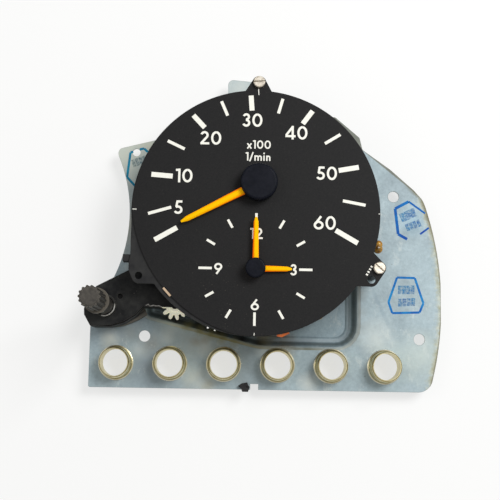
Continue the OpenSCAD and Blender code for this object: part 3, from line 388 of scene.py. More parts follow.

# %% [markdown]
# ## The stained right edge
# A yellow-brown stain creeps in from the cut edge. That edge is an arc, so the distance from the arc's own
# centre puts the stain where the edge is, and a noise added to the distance frays it. The upper right corner is
# cut straight, so there the distance is taken from a line. A faint painted shade of a crease follows a second, much
# larger arc.

# %% Zinc: crease, edge stain and corner
CREASE_CENTRE, CREASE_RADIUS, CREASE_WIDTH = (511.1, 173.4), 498.8, 2.4
EDGE_CENTRE, EDGE_RADIUS, STAIN_RADIUS, STAIN_DEPTH = (-60.3, -37.4), 147.5, 147.0, 5
CORNER_FROM, CORNER_TO = (51.6, 34.2), (77.1, 13.6)
# Painted shade along a faint crease in the sheet.
past_crease = zinc.math("SUBTRACT", zinc.distance_from(CREASE_CENTRE), CREASE_RADIUS)
fold_line = zinc.ramp_over(past_crease, CREASE_WIDTH, (0.0, 0.0), (0.3, 1.0), (0.7, 1.0), (1.0, 0.0))
crease_shade = zinc.tinge((0.0, 0.0, 0.0), (58.9, -39.5), 15, (1.0, 1.0, 1.0), 0.45)
coat = zinc.mix(zinc.math("MULTIPLY", fold_line, crease_shade), coat, (0.24, 0.32, 0.37))
from_arc = zinc.distance_from(EDGE_CENTRE)
frayed_wide = zinc.math("SUBTRACT", zinc.ragged(from_arc, zinc.noise(2.2, 6, 0.8), 9.0), STAIN_RADIUS)
frayed_fine = zinc.math("SUBTRACT", zinc.ragged(from_arc, zinc.noise(1.2, 4), 0.9), STAIN_RADIUS)
stain_tint = zinc.ramp(zinc.noise(3, 4), (0.4, (0.36, 0.345, 0.20)), (0.6, (0.54, 0.55, 0.44)))
coat = zinc.mix(zinc.ramp_over(frayed_wide, STAIN_DEPTH, (0.42, 0.0), (0.95, 0.85)), coat, stain_tint)
coat = zinc.mix(zinc.ramp(frayed_fine, (0.22, 0.0), (0.42, 0.6)), coat, (0.14, 0.13, 0.08))
inside = zinc.beside(CORNER_FROM, CORNER_TO)
to_rim = zinc.math("MINIMUM", inside, zinc.math("SUBTRACT", EDGE_RADIUS, from_arc))
combed = zinc.ragged(to_rim, zinc.noise(0.9, 5, 0.8), 2.2)
corner = zinc.ramp_over(zinc.distance_from((79.0, 6.0)), 30, (0.28, 0.9), (0.52, 0.0))
comb = zinc.math("MULTIPLY", zinc.ramp_over(combed, 4, (0.40, 1.0), (0.76, 0.0)), corner)
coat = zinc.mix(comb, coat, (0.17, 0.16, 0.095))
coat = zinc.mix(zinc.ramp(inside, (0.30, 0.75), (0.60, 0.0)), coat, (0.12, 0.11, 0.06))
upper_right = zinc.ramp_over(zinc.distance_from((74, 12)), 40, (0.3, 0.9), (0.9, 0.5))
browned_edges = zinc.math("MULTIPLY", zinc.edges(0.5), upper_right)
zinc.colour(zinc.mix(browned_edges, coat, (0.12, 0.11, 0.07)))
zinc.rough(zinc.ramp(zinc.noise(9, 4), (0.3, 0.42), (0.7, 0.60)))
zinc.bump(zinc.noise(0.6, 2), 0.015, 0.25)
paint(zinc, "carrier_plate")
print("plate finished")

# %% [markdown]
# ## Yellow chromate on the tubes
# The light tubes are pressed steel with a yellow chromate coat. The coat is thickest inside, where it looks
# yellow and throws yellow light back, and is worn pale on the rolled rim. Two dark rings outside the inner wall
# are painted reflections of dark surroundings. The tubes stand in one even row,
# so the distance from the nearest tube's axis tells the inside from the rim and the foot.

# %% Light tubes
TUBE_COUNT = 6
RING_SPAN = 10
DARK_REFLECTION, ROLLED_RIM = (0.20, 0.155, 0.05), (0.92, 0.85, 0.58)
row_low, row_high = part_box("light_tubes")
tube_width = (row_high.y - row_low.y) / MM
tube_pitch = ((row_high.x - row_low.x) / MM - tube_width) / (TUBE_COUNT - 1)
first_tube = (row_low.x / MM + tube_width / 2, (row_low.y + row_high.y) / 2 / MM)
chromate = Finish("chromate_tube", (0.60, 0.50, 0.25), 0.30, 0.9)
split = chromate.tree.nodes.new("ShaderNodeSeparateXYZ")
chromate.tree.links.new(chromate.coords, split.inputs["Vector"])
along_row = chromate.math("SUBTRACT", split.outputs["X"], first_tube[0] * MM)
pitches = chromate.math("DIVIDE", along_row, tube_pitch * MM)
# Ten and a half more keeps the count above zero and puts each tube's axis in the middle of its pitch.
part_of_pitch = chromate.math("FRACT", chromate.math("ADD", pitches, 10.5))
off_x = chromate.math("MULTIPLY", chromate.math("SUBTRACT", part_of_pitch, 0.5), tube_pitch)
off_y = chromate.math("DIVIDE", chromate.math("SUBTRACT", split.outputs["Y"], first_tube[1] * MM), MM)
squares = chromate.math("ADD", chromate.math("MULTIPLY", off_x, off_x), chromate.math("MULTIPLY", off_y, off_y))
from_tube = chromate.math("SQRT", squares)
# The two dark rings in this ramp are painted reflections of dark surroundings in the tube's walls.
rings = chromate.ramp_over(from_tube, RING_SPAN, (0.614, (0.62, 0.55, 0.26)), (0.636, (0.80, 0.74, 0.50)),
                           (0.650, DARK_REFLECTION), (0.668, DARK_REFLECTION), (0.685, ROLLED_RIM), (0.70, ROLLED_RIM),
                           (0.722, (0.36, 0.29, 0.08)), (0.78, (0.88, 0.84, 0.66)))
drift = chromate.ramp(chromate.noise(6, 4, 0.6), (0.30, (0.66, 0.58, 0.36)), (0.55, (1.0, 1.0, 1.0)))
chromate.colour(chromate.mix(0.7, rings, drift, "MULTIPLY"))
chromate.rough(chromate.ramp(chromate.noise(2.5, 3), (0.3, 0.26), (0.7, 0.36)))
chromate.bump(chromate.noise(4.0, 2), 0.004)
paint(chromate, "light_tubes")
print("tubes finished, pitch", round(tube_pitch, 2), "mm")

# %% [markdown]
# ## Matt black dial
# The dial is sheet metal with a matt black coat: almost no shine, a very fine grain, and specks of dust and
# rust that are thickest at its lower left.

# %% Dial
dial_black = Finish("dial_black", (0.010, 0.010, 0.010), 0.62).shine(0.2)
fine = dial_black.ramp(dial_black.noise(0.5, 2), (0.3, (0.0075, 0.0075, 0.008)), (0.7, (0.0135, 0.013, 0.013)))
dust = dial_black.ramp(dial_black.cells(1.3), (0.06, 1.0), (0.20, 0.0))
dusty = dial_black.ramp(dial_black.noise(5, 4, 0.7), (0.47, 0.0), (0.62, 0.6))
lower_left = dial_black.ramp_over(dial_black.distance_from((-14, -37)), 20, (0.3, 1.0), (1.0, 0.25))
where = dial_black.math("MULTIPLY", dusty, lower_left)
dial_coat = dial_black.mix(dial_black.math("MULTIPLY", dust, where), fine, (0.13, 0.115, 0.09))
rubbed_edges = dial_black.math("MULTIPLY", dial_black.edges(0.2), 0.6)
dial_black.colour(dial_black.mix(rubbed_edges, dial_coat, (0.06, 0.055, 0.045)))
dial_black.bump(dial_black.noise(0.35, 2), 0.012, 0.15)
paint(dial_black, "dial_plate")
print("dial finished")

# %% [markdown]
# ## Moulded plastics
# The black parts are grained mouldings that have gone a little grey where they were handled. One recipe
# serves every moulding: a dark and a pale tone, edges and specks in a worn colour, and painted shade that makes
# any small hole it is given black in its depth.

# %% Black mouldings
def moulded(name, dark, pale, rough, grain_mm=0.4, depth=0.02, worn=None, shine=0.5, shaded_holes=()):
    """A grained moulding. Each hole it is given is a centre and a radius in mm, painted black there as shade."""
    finish = Finish(name, dark, rough).shine(shine)
    body = finish.ramp(finish.noise(6, 5, 0.65), (0.35, dark), (0.70, pale))
    if worn:
        body = finish.mix(finish.math("MULTIPLY", finish.edges(0.3), 0.7), body, worn)
        dots = finish.math("MULTIPLY", finish.ramp(finish.cells(2.4), (0.05, 1.0), (0.12, 0.0)),
                           finish.ramp(finish.noise(9, 3), (0.45, 0.0), (0.6, 0.8)))
        body = finish.mix(dots, body, worn)
    # Painted shade: each given hole is made black in its depth.
    for centre, radius in shaded_holes:
        hole_shade = finish.ramp_over(finish.distance_from(centre), 2 * radius, (0.46, 1.0), (0.5, 0.0))
        body = finish.mix(hole_shade, body, (0.001, 0.001, 0.001))
    finish.colour(body)
    finish.rough(finish.ramp(finish.noise(3, 3), (0.3, rough - 0.08), (0.7, rough + 0.10)))
    return finish.bump(finish.noise(grain_mm, 2), depth, 0.25)

black_plastic = moulded("black_plastic", (0.008, 0.008, 0.009), (0.024, 0.024, 0.023), 0.5,
                        worn=(0.045, 0.045, 0.042), shine=0.3, shaded_holes=[((-51.1, -29.5), 1.62)])
paint(black_plastic, "gauge_frame", "edge_clip", "inner_idler", "outer_idler", "knob_pinion", "terminal_block",
      "control_chip")
dusty_plastic = moulded("dusty_plastic", (0.002, 0.0025, 0.0035), (0.028, 0.028, 0.026), 0.5, 0.8, 0.04,
                        worn=(0.115, 0.105, 0.088), shine=0.2, shaded_holes=[((-60.23, -37.69), 1.22)])
paint(dusty_plastic, "setting_arm", "setting_arm_cover")
sleeve_plastic = moulded("sleeve_plastic", (0.012, 0.011, 0.010), (0.038, 0.033, 0.026), 0.35,
                         worn=(0.10, 0.085, 0.06), shine=0.4)
paint(sleeve_plastic, "knob_stem")
drive_case = moulded("drive_case", (0.05, 0.055, 0.05), (0.09, 0.10, 0.09), 0.5)
paint(drive_case, "clock_drive_unit")
print("black mouldings finished")

# %% [markdown]
# ## The knob's grip
# The grip is worn: its ribs are rubbed pale, with a painted highlight on their edges, the grooves between them are
# painted dark as shade, and dust has settled at its foot. Distance from the knob's axis tells a groove from a rib, and
# the depth below its top tells the foot.

# %% Knob
KNOB_SPAN = 25
knob_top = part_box("setting_knob")[1].z / MM
knob_axis = middle("setting_knob")
knob_plastic = Finish("knob_plastic", (0.05, 0.046, 0.04), 0.6).shine(0.3)
rubbed_top = knob_plastic.ramp(knob_plastic.noise(1.6, 5, 0.7), (0.35, (0.042, 0.038, 0.033)),
                               (0.70, (0.095, 0.086, 0.072)))
down = knob_plastic.math("DIVIDE", knob_plastic.math("SUBTRACT", knob_top, knob_plastic.height_mm()), KNOB_SPAN)
from_axis = knob_plastic.distance_from((knob_axis.x, knob_axis.y))
between_ribs = knob_plastic.ramp_over(from_axis, 10, (0.45, 1.0), (0.495, 0.0))
# Painted shade: the grooves between the ribs are darkened.
grooves = knob_plastic.math("MULTIPLY", between_ribs, knob_plastic.ramp(down, (0.025, 0.0), (0.04, 0.9)))
knob_coat = knob_plastic.mix(grooves, rubbed_top, (0.010, 0.009, 0.008))
dusty_foot = knob_plastic.ramp(down, (0.74, 0.0), (0.80, 0.8), (0.97, 0.8), (0.99, 0.0))
knob_coat = knob_plastic.mix(dusty_foot, knob_coat, (0.125, 0.11, 0.088))
# Wear and painted highlight: the edges of the ribs are lighter.
rib_wear_and_highlight = knob_plastic.math("MULTIPLY", knob_plastic.edges(0.3, 0.03, 0.2), 0.8)
knob_plastic.colour(knob_plastic.mix(rib_wear_and_highlight, knob_coat, (0.17, 0.15, 0.12)))
knob_plastic.bump(knob_plastic.noise(0.8, 2), 0.05, 0.2)
paint(knob_plastic, "setting_knob")
print("knob finished")

# %% [markdown]
# ## Cream and natural plastics
# The big setting gear is cream acetal, which is waxy and lets a little light in, so it gets some scattering
# under its surface. A faint glow is painted light that keeps it bright in the dial's shadow. The small wheels and the
# bobbins are a paler natural plastic.

# %% Cream and natural plastics
cream = moulded("cream_plastic", (0.84, 0.82, 0.66), (0.93, 0.91, 0.78), 0.45)
cream.shader.inputs["Subsurface Weight"].default_value = 0.1
cream.shader.inputs["Subsurface Scale"].default_value = 0.001
# Painted light: a faint glow that brightens the gear where the dial shades it.
cream.shader.inputs["Emission Color"].default_value = (0.85, 0.83, 0.62, 1)
cream.shader.inputs["Emission Strength"].default_value = 0.3
paint(cream, "cream_gear")
natural = moulded("natural_plastic", (0.70, 0.68, 0.60), (0.82, 0.80, 0.74), 0.45)
paint(natural, "tacho_bobbin_lower", "tacho_bobbin_upper", "minute_wheel", "hour_wheel", "setting_wheel",
      "drive_pinion", "board_spacers")
print("plastics finished")

# %% [markdown]
# ## Fluorescent orange
# The pointer and hands are fluorescent orange: yellow-orange along the ridge and redder down the flanks. On the clock
# hands the red reaches further on the flank away from the light, as painted shade, and a faint glow is painted light
# that keeps the orange bright in shade. The colour depends on
# the distance from the hand's own centre line, found by turning the coordinates until the hand lies along X.

# %% Pointer and hands
def glowing(name, pivot_mm, angle_deg, half_width_mm, lit_side_mm=0.0):
    finish = Finish(name, (1.0, 0.45, 0.0), 0.5).shine(0.05)
    turn = finish.tree.nodes.new("ShaderNodeMapping")
    turn.vector_type = "TEXTURE"
    turn.inputs["Location"].default_value = (pivot_mm.x * MM, pivot_mm.y * MM, 0)
    turn.inputs["Rotation"].default_value = (0, 0, math.radians(angle_deg))
    finish.tree.links.new(finish.coords, turn.inputs["Vector"])
    split = finish.tree.nodes.new("ShaderNodeSeparateXYZ")
    finish.tree.links.new(turn.outputs["Vector"], split.inputs["Vector"])
    # Moving the centre line toward the lit flank paints shade as more red on the other flank.
    sideways = finish.math("SUBTRACT", split.outputs["Y"], lit_side_mm * MM)
    across = finish.math("DIVIDE", finish.math("ABSOLUTE", sideways), half_width_mm * MM)
    wobble = finish.ragged(across, finish.noise(1.5, 2), 0.12)
    finish.colour(finish.ramp(wobble, (0.42, (0.88, 0.50, 0.0)), (0.68, (0.92, 0.36, 0.0)), (0.92, (0.78, 0.06, 0.0))))
    # Painted light: a faint glow that keeps the orange bright in shade.
    finish.shader.inputs["Emission Color"].default_value = (1.0, 0.36, 0.0, 1)
    finish.shader.inputs["Emission Strength"].default_value = 0.16
    return finish.bump(finish.noise(0.8, 2), 0.008, 0.15)

paint(glowing("pointer_orange", tacho, 208, 1.9), "tacho_pointer")
paint(glowing("minute_orange", clock, 90, 1.5, -0.25), "minute_hand")
paint(glowing("hour_orange", clock, 0, 1.5, 0.12), "hour_hand")
print("hands finished")

# %% [markdown]
# ## Hub caps
# The caps are polished black mouldings with a blue cast, a little scuffed on top.

# %% Hub caps
cap_black = Finish("cap_black", (0.004, 0.005, 0.009), 0.35).shine(0.12)
cap_black.colour(cap_black.ramp(cap_black.noise(4, 4), (0.35, (0.003, 0.004, 0.008)), (0.7, (0.007, 0.008, 0.014))))
cap_black.rough(cap_black.ramp(cap_black.noise(1.2, 4), (0.3, 0.30), (0.7, 0.48)))
cap_black.bump(cap_black.noise(2, 2), 0.01, 0.3)
paint(cap_black, "tacho_cap", "hand_cap")
print("caps finished")

# %% [markdown]
# ## Screws, brass and copper
# Small metal parts share one recipe: a bright metal, a fine turned grain and duller patches.

# %% Small metal parts
def metal_finish(name, dark, bright, rough, size=1.5):
    finish = Finish(name, bright, rough, 1.0)
    finish.colour(finish.ramp(finish.noise(size, 4, 0.6), (0.3, dark), (0.65, bright)))
    finish.rough(finish.ramp(finish.noise(size / 2, 3), (0.3, rough - 0.07), (0.7, rough + 0.12)))
    return finish.bump(finish.noise(0.3, 2), 0.01, 0.15)

nickel = metal_finish("nickel_screw", (0.52, 0.45, 0.35), (0.74, 0.69, 0.60), 0.34, 2.5)
paint(nickel, "dial_screws", "frame_screws", "arm_screws", "movement_screws")
brass = metal_finish("brass", (0.45, 0.33, 0.13), (0.78, 0.62, 0.30), 0.28, 4)
paint(brass, "tacho_bearing", "movement_plate", "centre_wheel", "cannon_pinion", "coil_pins", "drive_pins",
      "tacho_hairspring")
steel = metal_finish("steel", (0.42, 0.43, 0.44), (0.68, 0.69, 0.70), 0.28)
paint(steel, "tacho_spindle", "knob_spring")
tinned = metal_finish("can_steel", (0.40, 0.41, 0.42), (0.66, 0.67, 0.68), 0.36, 9)
paint(tinned, "tacho_can")
magnet = metal_finish("magnet", (0.05, 0.05, 0.055), (0.11, 0.11, 0.12), 0.5, 2)
paint(magnet, "tacho_magnet")
copper = metal_finish("copper", (0.35, 0.12, 0.05), (0.72, 0.30, 0.14), 0.30, 0.6)
paint(copper, "tacho_coils")
print("metals finished")

# %% [markdown]
# ## Board and sealing lacquer
# The board and its parts lie deep in the recess, and the moulding recipe in other colours is enough for them.
# The drop of lacquer is amber and glossy, and darker where it is thick.

# %% Board, its parts and the sealing lacquer
board = moulded("board", (0.018, 0.075, 0.035), (0.035, 0.12, 0.06), 0.35, 0.5, 0.01)
paint(board, "circuit_board")
small_parts = moulded("board_parts", (0.16, 0.09, 0.045), (0.30, 0.20, 0.10), 0.4, 0.5, 0.02)
paint(small_parts, "board_parts")
lacquer = Finish("lacquer", (0.36, 0.17, 0.02), 0.2)
amber = lacquer.ramp(lacquer.noise(1.8, 4), (0.36, (0.12, 0.05, 0.006)), (0.48, (0.42, 0.19, 0.012)),
                     (0.66, (0.60, 0.34, 0.05)))
drop = middle("lacquer_seal")
lacquer.colour(lacquer.tinge(amber, (drop.x - 0.4, drop.y - 0.8), 2.2, (0.03, 0.014, 0.004), 0.9))
lacquer.shader.inputs["Coat Weight"].default_value = 0.1
lacquer.bump(lacquer.noise(1.0, 3), 0.1)
paint(lacquer, "lacquer_seal")
print("nodes without a finish:", sorted(set(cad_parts) - painted))

# %% [markdown]
# ## Printing the dial
# Ticks and figures are silk-screened: flat ink with crisp edges. Each stroke is a ribbon of even width laid
# just above the dial, so a figure is a short list of lines and arcs, drawn the way a signwriter would.

# %% A ribbon of ink
INK = Finish("dial_print", (0.92, 0.91, 0.82), 0.5)
INK.colour(INK.ramp(INK.noise(1.2, 3), (0.3, (0.88, 0.87, 0.77)), (0.7, (0.95, 0.94, 0.86))))
INK.bump(INK.noise(0.25, 2), 0.01)

MITRE_LIMIT = 0.5
INK_LIFT = 0.02
LAYER_STEP, LAYERS = 0.003, 4

def ribbon(points, width):
    """The outline corners of a stroke along points, mitred at its bends."""
    rails = []
    count = len(points)
    for i, here in enumerate(points):
        before = points[max(i - 1, 0)]
        after = points[min(i + 1, count - 1)]
        a = (here - before).normalized() if i else (after - here).normalized()
        b = (after - here).normalized() if i < count - 1 else a
        across = (a + b).normalized()
        across = Vector((-across.y, across.x))
        reach = width / 2 / max(across.dot(Vector((-a.y, a.x))), MITRE_LIMIT)
        rails.append((here + across * reach, here - across * reach))
    return rails

def add_piece(name, shape, finish):
    """Turn a finished bmesh into an object that rides on the carrier."""
    mesh = bpy.data.meshes.new(name)
    shape.to_mesh(mesh)
    shape.free()
    mesh.materials.append(finish.mat)
    piece = bpy.data.objects.new(name, mesh)
    scene.collection.objects.link(piece)
    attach(piece, "carrier")
    return piece

def print_ink(name, strokes, height_mm, finish):
    """One piece made of strokes, each (points in mm, width in mm), in thin layers so that none flicker."""
    shape = bmesh.new()
    for n, (points, width) in enumerate(strokes):
        z = height_mm + INK_LIFT + LAYER_STEP * (n % LAYERS)
        rails = [[shape.verts.new((p.x * MM, p.y * MM, z * MM)) for p in pair]
                 for pair in ribbon([Vector(p) for p in points], width)]
        for (a, b), (c, d) in zip(rails, rails[1:]):
            shape.faces.new((a, b, d, c))
    shape.normal_update()
    for face in shape.faces:
        if face.normal.z < 0:
            face.normal_flip()
    return add_piece(name, shape, finish)

def turn(radius, angle):
    return Vector((radius * math.cos(math.radians(angle)), radius * math.sin(math.radians(angle))))

print("ink tools ready")

# %% [markdown]
# ## Tick marks
# All thirteen ticks point at the scale's centre, a millimetre left of where the shaft really sits, but their
# ends lie on two larger circles, so the scale hugs the dial's rim. Where a ray meets a circle is one quadratic.
# The screen slipped a little as it printed, so each tick also has its own small shift along its length.

# %% Rev counter ticks
MAJOR_WIDTH, MINOR_WIDTH = 2.2, 1.35
OUTER_CIRCLE, INNER_CIRCLE = (Vector((0, 4.4)), 48.2), (Vector((0, 7.45)), 38.2)

def ray_to_circle(start, angle, centre, radius):
    u = turn(1, angle)
    off = start - centre
    b = off.dot(u)
    return start + u * (-b + math.sqrt(b * b - off.length_squared + radius * radius))

scale_centre = Vector((0, 12.3))
tick_angles = [210.3, 196.7, 175.9, 154.9, 133.2, 113.6, 94.4, 74.0, 53.9, 32.0, 10.5, -10.2, -29.8]
slips = [-0.15, -0.1, -0.15, -0.25, -0.1, -0.1, 0.1, 0.1, 0.2, 0.25, 0.05, 0.25, 0.25]
ticks = []
for n, (angle, slip) in enumerate(zip(tick_angles, slips)):
    major = n % 2 == 0
    outer = ray_to_circle(scale_centre, angle, *OUTER_CIRCLE) + turn(slip, angle)
    inner = ray_to_circle(scale_centre, angle, *INNER_CIRCLE) + turn(slip, angle)
    ticks.append(((inner, outer), MAJOR_WIDTH if major else MINOR_WIDTH))
print_ink("scale_ticks", ticks, dial_front, INK)
print("ticks:", len(ticks))

# %% [markdown]
# ## Clock ticks and rim marks
# The clock's ticks share one width, and those at the quarters are longer. A few sit a fraction of a
# millimetre off their true place. Four thin marks at the dial's rim show its own quarters.

# %% Clock ticks and the thin marks at the rim
# How far a tick's middle is from the clock's axis, and how long the tick is.
QUARTER_TICK, HOUR_TICK = (22.2, 5.87), (23.0, 4.17)
HOUR_WIDTH = 1.1
hour_shift = {0: (0.15, -0.35), 4: (0.1, 0), 6: (0, 0.15), 9: (0.2, 0), 10: (0.2, 0), 11: (0.15, -0.05)}
hours = []
for hour in range(12):
    reach, length = QUARTER_TICK if hour % 3 == 0 else HOUR_TICK
    along = turn(1, 90 - 30 * hour)
    middle_of_tick = clock.xy + along * reach + Vector(hour_shift.get(hour, (0, 0)))
    hours.append(((middle_of_tick - along * length / 2, middle_of_tick + along * length / 2), HOUR_WIDTH))
print_ink("clock_ticks", hours, dial_front, INK)
rim_marks = [(((0.2, 55.8), (0.4, 52.9)), 0.35), (((-54.6, -0.15), (-52.8, -0.15)), 0.35),
             (((54.25, -0.2), (54.95, -0.2)), 0.3), (((-0.1, -54.9), (0.0, -53.8)), 0.3)]
print_ink("rim_marks", rim_marks, dial_front, INK)
print("hour ticks:", len(hours))

# %% [markdown]
# ## Figures
# The figures are a round geometric sans. Each one is drawn in a cell one unit high, and its stroke is about
# a sixth of that. Arcs turn clockwise or anticlockwise from one angle to another.

# %% The figures' strokes
def arc(cx, cy, rx, ry, start, end, steps=28):
    return [(cx + rx * math.cos(math.radians(start + (end - start) * i / steps)),
             cy + ry * math.sin(math.radians(start + (end - start) * i / steps))) for i in range(steps + 1)]

FIGURES = {
    "0": (0.74, [arc(0.37, 0.5, 0.285, 0.415, 90, 450, 40)]),
    "1": (0.34, [[(0.25, 0), (0.25, 1)], [(0.0, 0.905), (0.25, 0.905)]]),
    "2": (0.66, [arc(0.31, 0.69, 0.215, 0.22, 165, -33) + [(0.10, 0.12)], [(0.02, 0.09), (0.66, 0.09)]]),
    "3": (0.58, [arc(0.275, 0.735, 0.18, 0.18, 165, -95), arc(0.27, 0.285, 0.215, 0.205, 98, -160)]),
    "4": (0.75, [[(0.56, 0.96), (0.07, 0.30)], [(0.02, 0.24), (0.75, 0.24)], [(0.54, 0), (0.54, 1)]]),
    "5": (0.66, [[(0.21, 0.91), (0.62, 0.91)], [(0.27, 0.95), (0.20, 0.50)],
                 arc(0.32, 0.315, 0.245, 0.225, 128, -152)]),
    "6": (0.73, [arc(0.365, 0.325, 0.275, 0.235, 90, 450, 36), [(0.54, 0.97), (0.14, 0.43)]]),
    "9": (0.73, [arc(0.365, 0.675, 0.275, 0.235, 90, 450, 36), [(0.21, 0.02), (0.60, 0.58)]]),
    "x": (0.55, [[(0.04, 0), (0.51, 0.62)], [(0.04, 0.62), (0.51, 0)]]),
    "/": (0.42, [[(0.02, -0.08), (0.40, 1.02)]]),
    "i": (0.22, [[(0.11, 0), (0.11, 0.64)], [(0.11, 0.80), (0.11, 0.98)]]),
    "n": (0.52, [[(0.09, 0), (0.09, 0.64)], arc(0.26, 0.40, 0.17, 0.16, 180, 0, 16) + [(0.43, 0)]]),
    "m": (0.90, [[(0.09, 0), (0.09, 0.64)], arc(0.27, 0.40, 0.18, 0.16, 180, 0, 16) + [(0.45, 0)],
                 arc(0.63, 0.40, 0.18, 0.16, 180, 0, 16) + [(0.81, 0)]]),
}

def write(text, centre, height, weight, gap=0.12):
    """Strokes for a short text centred on a point, all in mm."""
    total = sum(FIGURES[c][0] for c in text) + gap * (len(text) - 1)
    pen, strokes = -total / 2, []
    for c in text:
        width, lines = FIGURES[c]
        for line in lines:
            strokes.append(([Vector(centre) + Vector((pen + x, y - 0.5)) * height for x, y in line], weight))
        pen += width + gap
    return strokes

print("figures drawn:", "".join(FIGURES))

# %% Print the figures
scale_figures = {"5": (-34.5, 1.1), "10": (-32.2, 15.35), "20": (-20.8, 32.75), "30": (-2.3, 41.3),
                 "40": (17.4, 35.9), "50": (31.0, 17.7), "60": (30.35, -4.65)}
hour_figures = {"12": (0.3, -10.0), "3": (16.85, -25.8), "6": (0.05, -41.45), "9": (-16.25, -25.85)}

def write_all(figures, height, weight):
    return [stroke for text, centre in figures.items() for stroke in write(text, centre, height, weight)]

scale_strokes = write_all(scale_figures, 6.2, 0.98)
unit_strokes = write("x100", (0.75, 30.15), 3.85, 0.62, 0.13) + write("1/min", (0.45, 24.65), 3.8, 0.62, 0.13)
clock_strokes = write_all(hour_figures, 4.95, 0.83)
print_ink("scale_figures", scale_strokes, dial_front, INK)
print_ink("unit_text", unit_strokes, dial_front, INK)
print_ink("clock_figures", clock_strokes, dial_front, INK)
print("printed:", len(scale_strokes) + len(unit_strokes) + len(clock_strokes), "strokes")

# %% [markdown]
# ## Ink stamps
# Rubber stamps were pressed onto the plate: a six-sided frame with smudged marks in it. Stamp ink is thin
# and patchy, so the finish fades to clear where a noise is low. One stamp runs off under the dial.

# %% Stamp ink
def stamp_finish(name, dark, pale, thinnest, gaps=0.34, softness=0.14):
    finish = Finish(name, pale, 0.55).shine(0.2)
    finish.colour(finish.ramp(finish.noise(6, 3), (0.35, dark), (0.65, pale)))
    cover = finish.ramp(finish.noise(1.0, 4, 0.7), (gaps, thinnest), (gaps + softness, 1.0))
    finish.tree.links.new(cover, finish.shader.inputs["Alpha"])
    return finish

stamp_ink = stamp_finish("stamp_ink", (0.0, 0.10, 0.44), (0.01, 0.26, 0.60), 0.6)
dark_ink = stamp_finish("dark_stamp_ink", (0.0, 0.055, 0.36), (0.0, 0.17, 0.52), 0.9)
faded_ink = stamp_finish("faded_stamp_ink", (0.0, 0.16, 0.30), (0.0, 0.30, 0.47), 0.35)
smudged_ink = stamp_finish("smudged_ink", (0.0, 0.12, 0.44), (0.01, 0.27, 0.58), 0.04, 0.36, 0.40)
faded_smudge = stamp_finish("faded_smudge", (0.09, 0.19, 0.24), (0.16, 0.27, 0.30), 0.0, 0.36, 0.40)
print("inks mixed")

# %% Press the stamps
def stamp_line(name, points, width, finish):
    strokes = [(pair, width) for pair in zip(points, points[1:])]
    return print_ink(name, strokes, sheet_front, finish)

def smudges(name, start, end, height, width, lean, finish=smudged_ink):
    """Four blurred marks in a row: the ink has run, and nothing in them can be read."""
    up = Matrix.Rotation(math.radians(lean), 2) @ Vector((0, height / 2))
    spots = [Vector(start).lerp(Vector(end), i / 3) for i in range(4)]
    return print_ink(name, [((spot - up, spot + up), width) for spot in spots], sheet_front, finish)

stamp_line("stamp_lower", [(66.6, -25.6), (74.9, -25.7), (78.8, -37.4), (77.0, -41.7), (64.3, -42.2),
                           (62.6, -37.1), (66.6, -25.6)], 1.05, stamp_ink)
smudges("stamp_lower_first", (67.9, -31.4), (73.8, -31.2), 4.0, 1.8, -2)
smudges("stamp_lower_second", (67.9, -37.3), (74.0, -36.9), 3.6, 1.8, -2)
stamp_line("stamp_upper_left_side", [(72.2, 10.4), (65.8, 6.9), (67.2, -5.2), (71.4, -7.5)], 1.35, dark_ink)
stamp_line("stamp_upper_right_side", [(72.2, 10.4), (79.9, 4.9)], 0.9, dark_ink)
stamp_line("stamp_upper_foot", [(77.5, -5.0), (81.6, -1.9)], 0.9, dark_ink)
smudges("stamp_upper_first", (69.2, 2.7), (74.4, 5.2), 4.2, 1.9, 22)
smudges("stamp_upper_second", (71.6, -1.9), (76.9, 0.2), 3.4, 1.6, 22)
stamp_line("stamp_left_top", [(-51.0, 31.7), (-52.8, 33.3), (-54.8, 32.8)], 1.1, faded_ink)
stamp_line("stamp_left_side", [(-57.8, 31.6), (-59.1, 31.3), (-60.3, 19.4), (-56.5, 15.3)], 1.1, faded_ink)
smudges("stamp_left_marks", (-57.4, 26.2), (-52.4, 28.0), 3.6, 1.5, 20, faded_smudge)
print("stamps printed")

# %% [markdown]
# ## Scraps and worn edges
# Small traces of use: a beige bar that shows through the dial's slot, four printed dashes beside the right
# ear, bits of paper torn at the dial's edge, and a sliver of red film caught under it.

# %% Slot bar and dashes
beige = moulded("slot_beige", (0.50, 0.35, 0.22), (0.66, 0.49, 0.33), 0.5, 0.6)
slot_bar = ((-40.05, -34.75), (-39.85, -35.0), (-37.05, -38.1), (-36.9, -38.35))
print_ink("slot_bar", [(slot_bar, 0.9)], dial_front, beige)
ear_start, ear_end = Vector((51.2, -23.8)), Vector((49.1, -27.3))
across_ear = (ear_end - ear_start).normalized().orthogonal() * 0.5
dashes = []
for i in range(4):
    spot = ear_start.lerp(ear_end, i / 3)
    dashes.append(((spot - across_ear, spot + across_ear), 0.7))
print_ink("ear_dashes", dashes, dial_front, INK)
print("dashes:", len(dashes))

# %% Paper bits and film
torn_paper = Finish("torn_paper", (0.80, 0.79, 0.74), 0.8)
torn_paper.colour(torn_paper.ramp(torn_paper.noise(0.8, 3), (0.35, (0.55, 0.54, 0.47)), (0.6, (0.86, 0.85, 0.80))))
torn_paper.bump(torn_paper.noise(0.5, 3), 0.1)
bits = [(((-20.6, -51.7), (-19.9, -52.0)), 0.6), (((-17.5, -52.8), (-16.9, -53.0)), 0.45)]
print_ink("torn_bits", bits, dial_front, torn_paper)

film = Finish("red_film", (0.50, 0.08, 0.015), 0.3)
film.colour(film.ramp(film.noise(2, 3), (0.35, (0.34, 0.062, 0.006)), (0.65, (0.50, 0.11, 0.012))))
film.bump(film.noise(1.0, 2), 0.05)
print_ink("film_sliver", [(((9.9, -54.5), (12.0, -54.75), (15.2, -53.2)), 1.15)], dial_front - 1.0, film)
print("scraps placed")
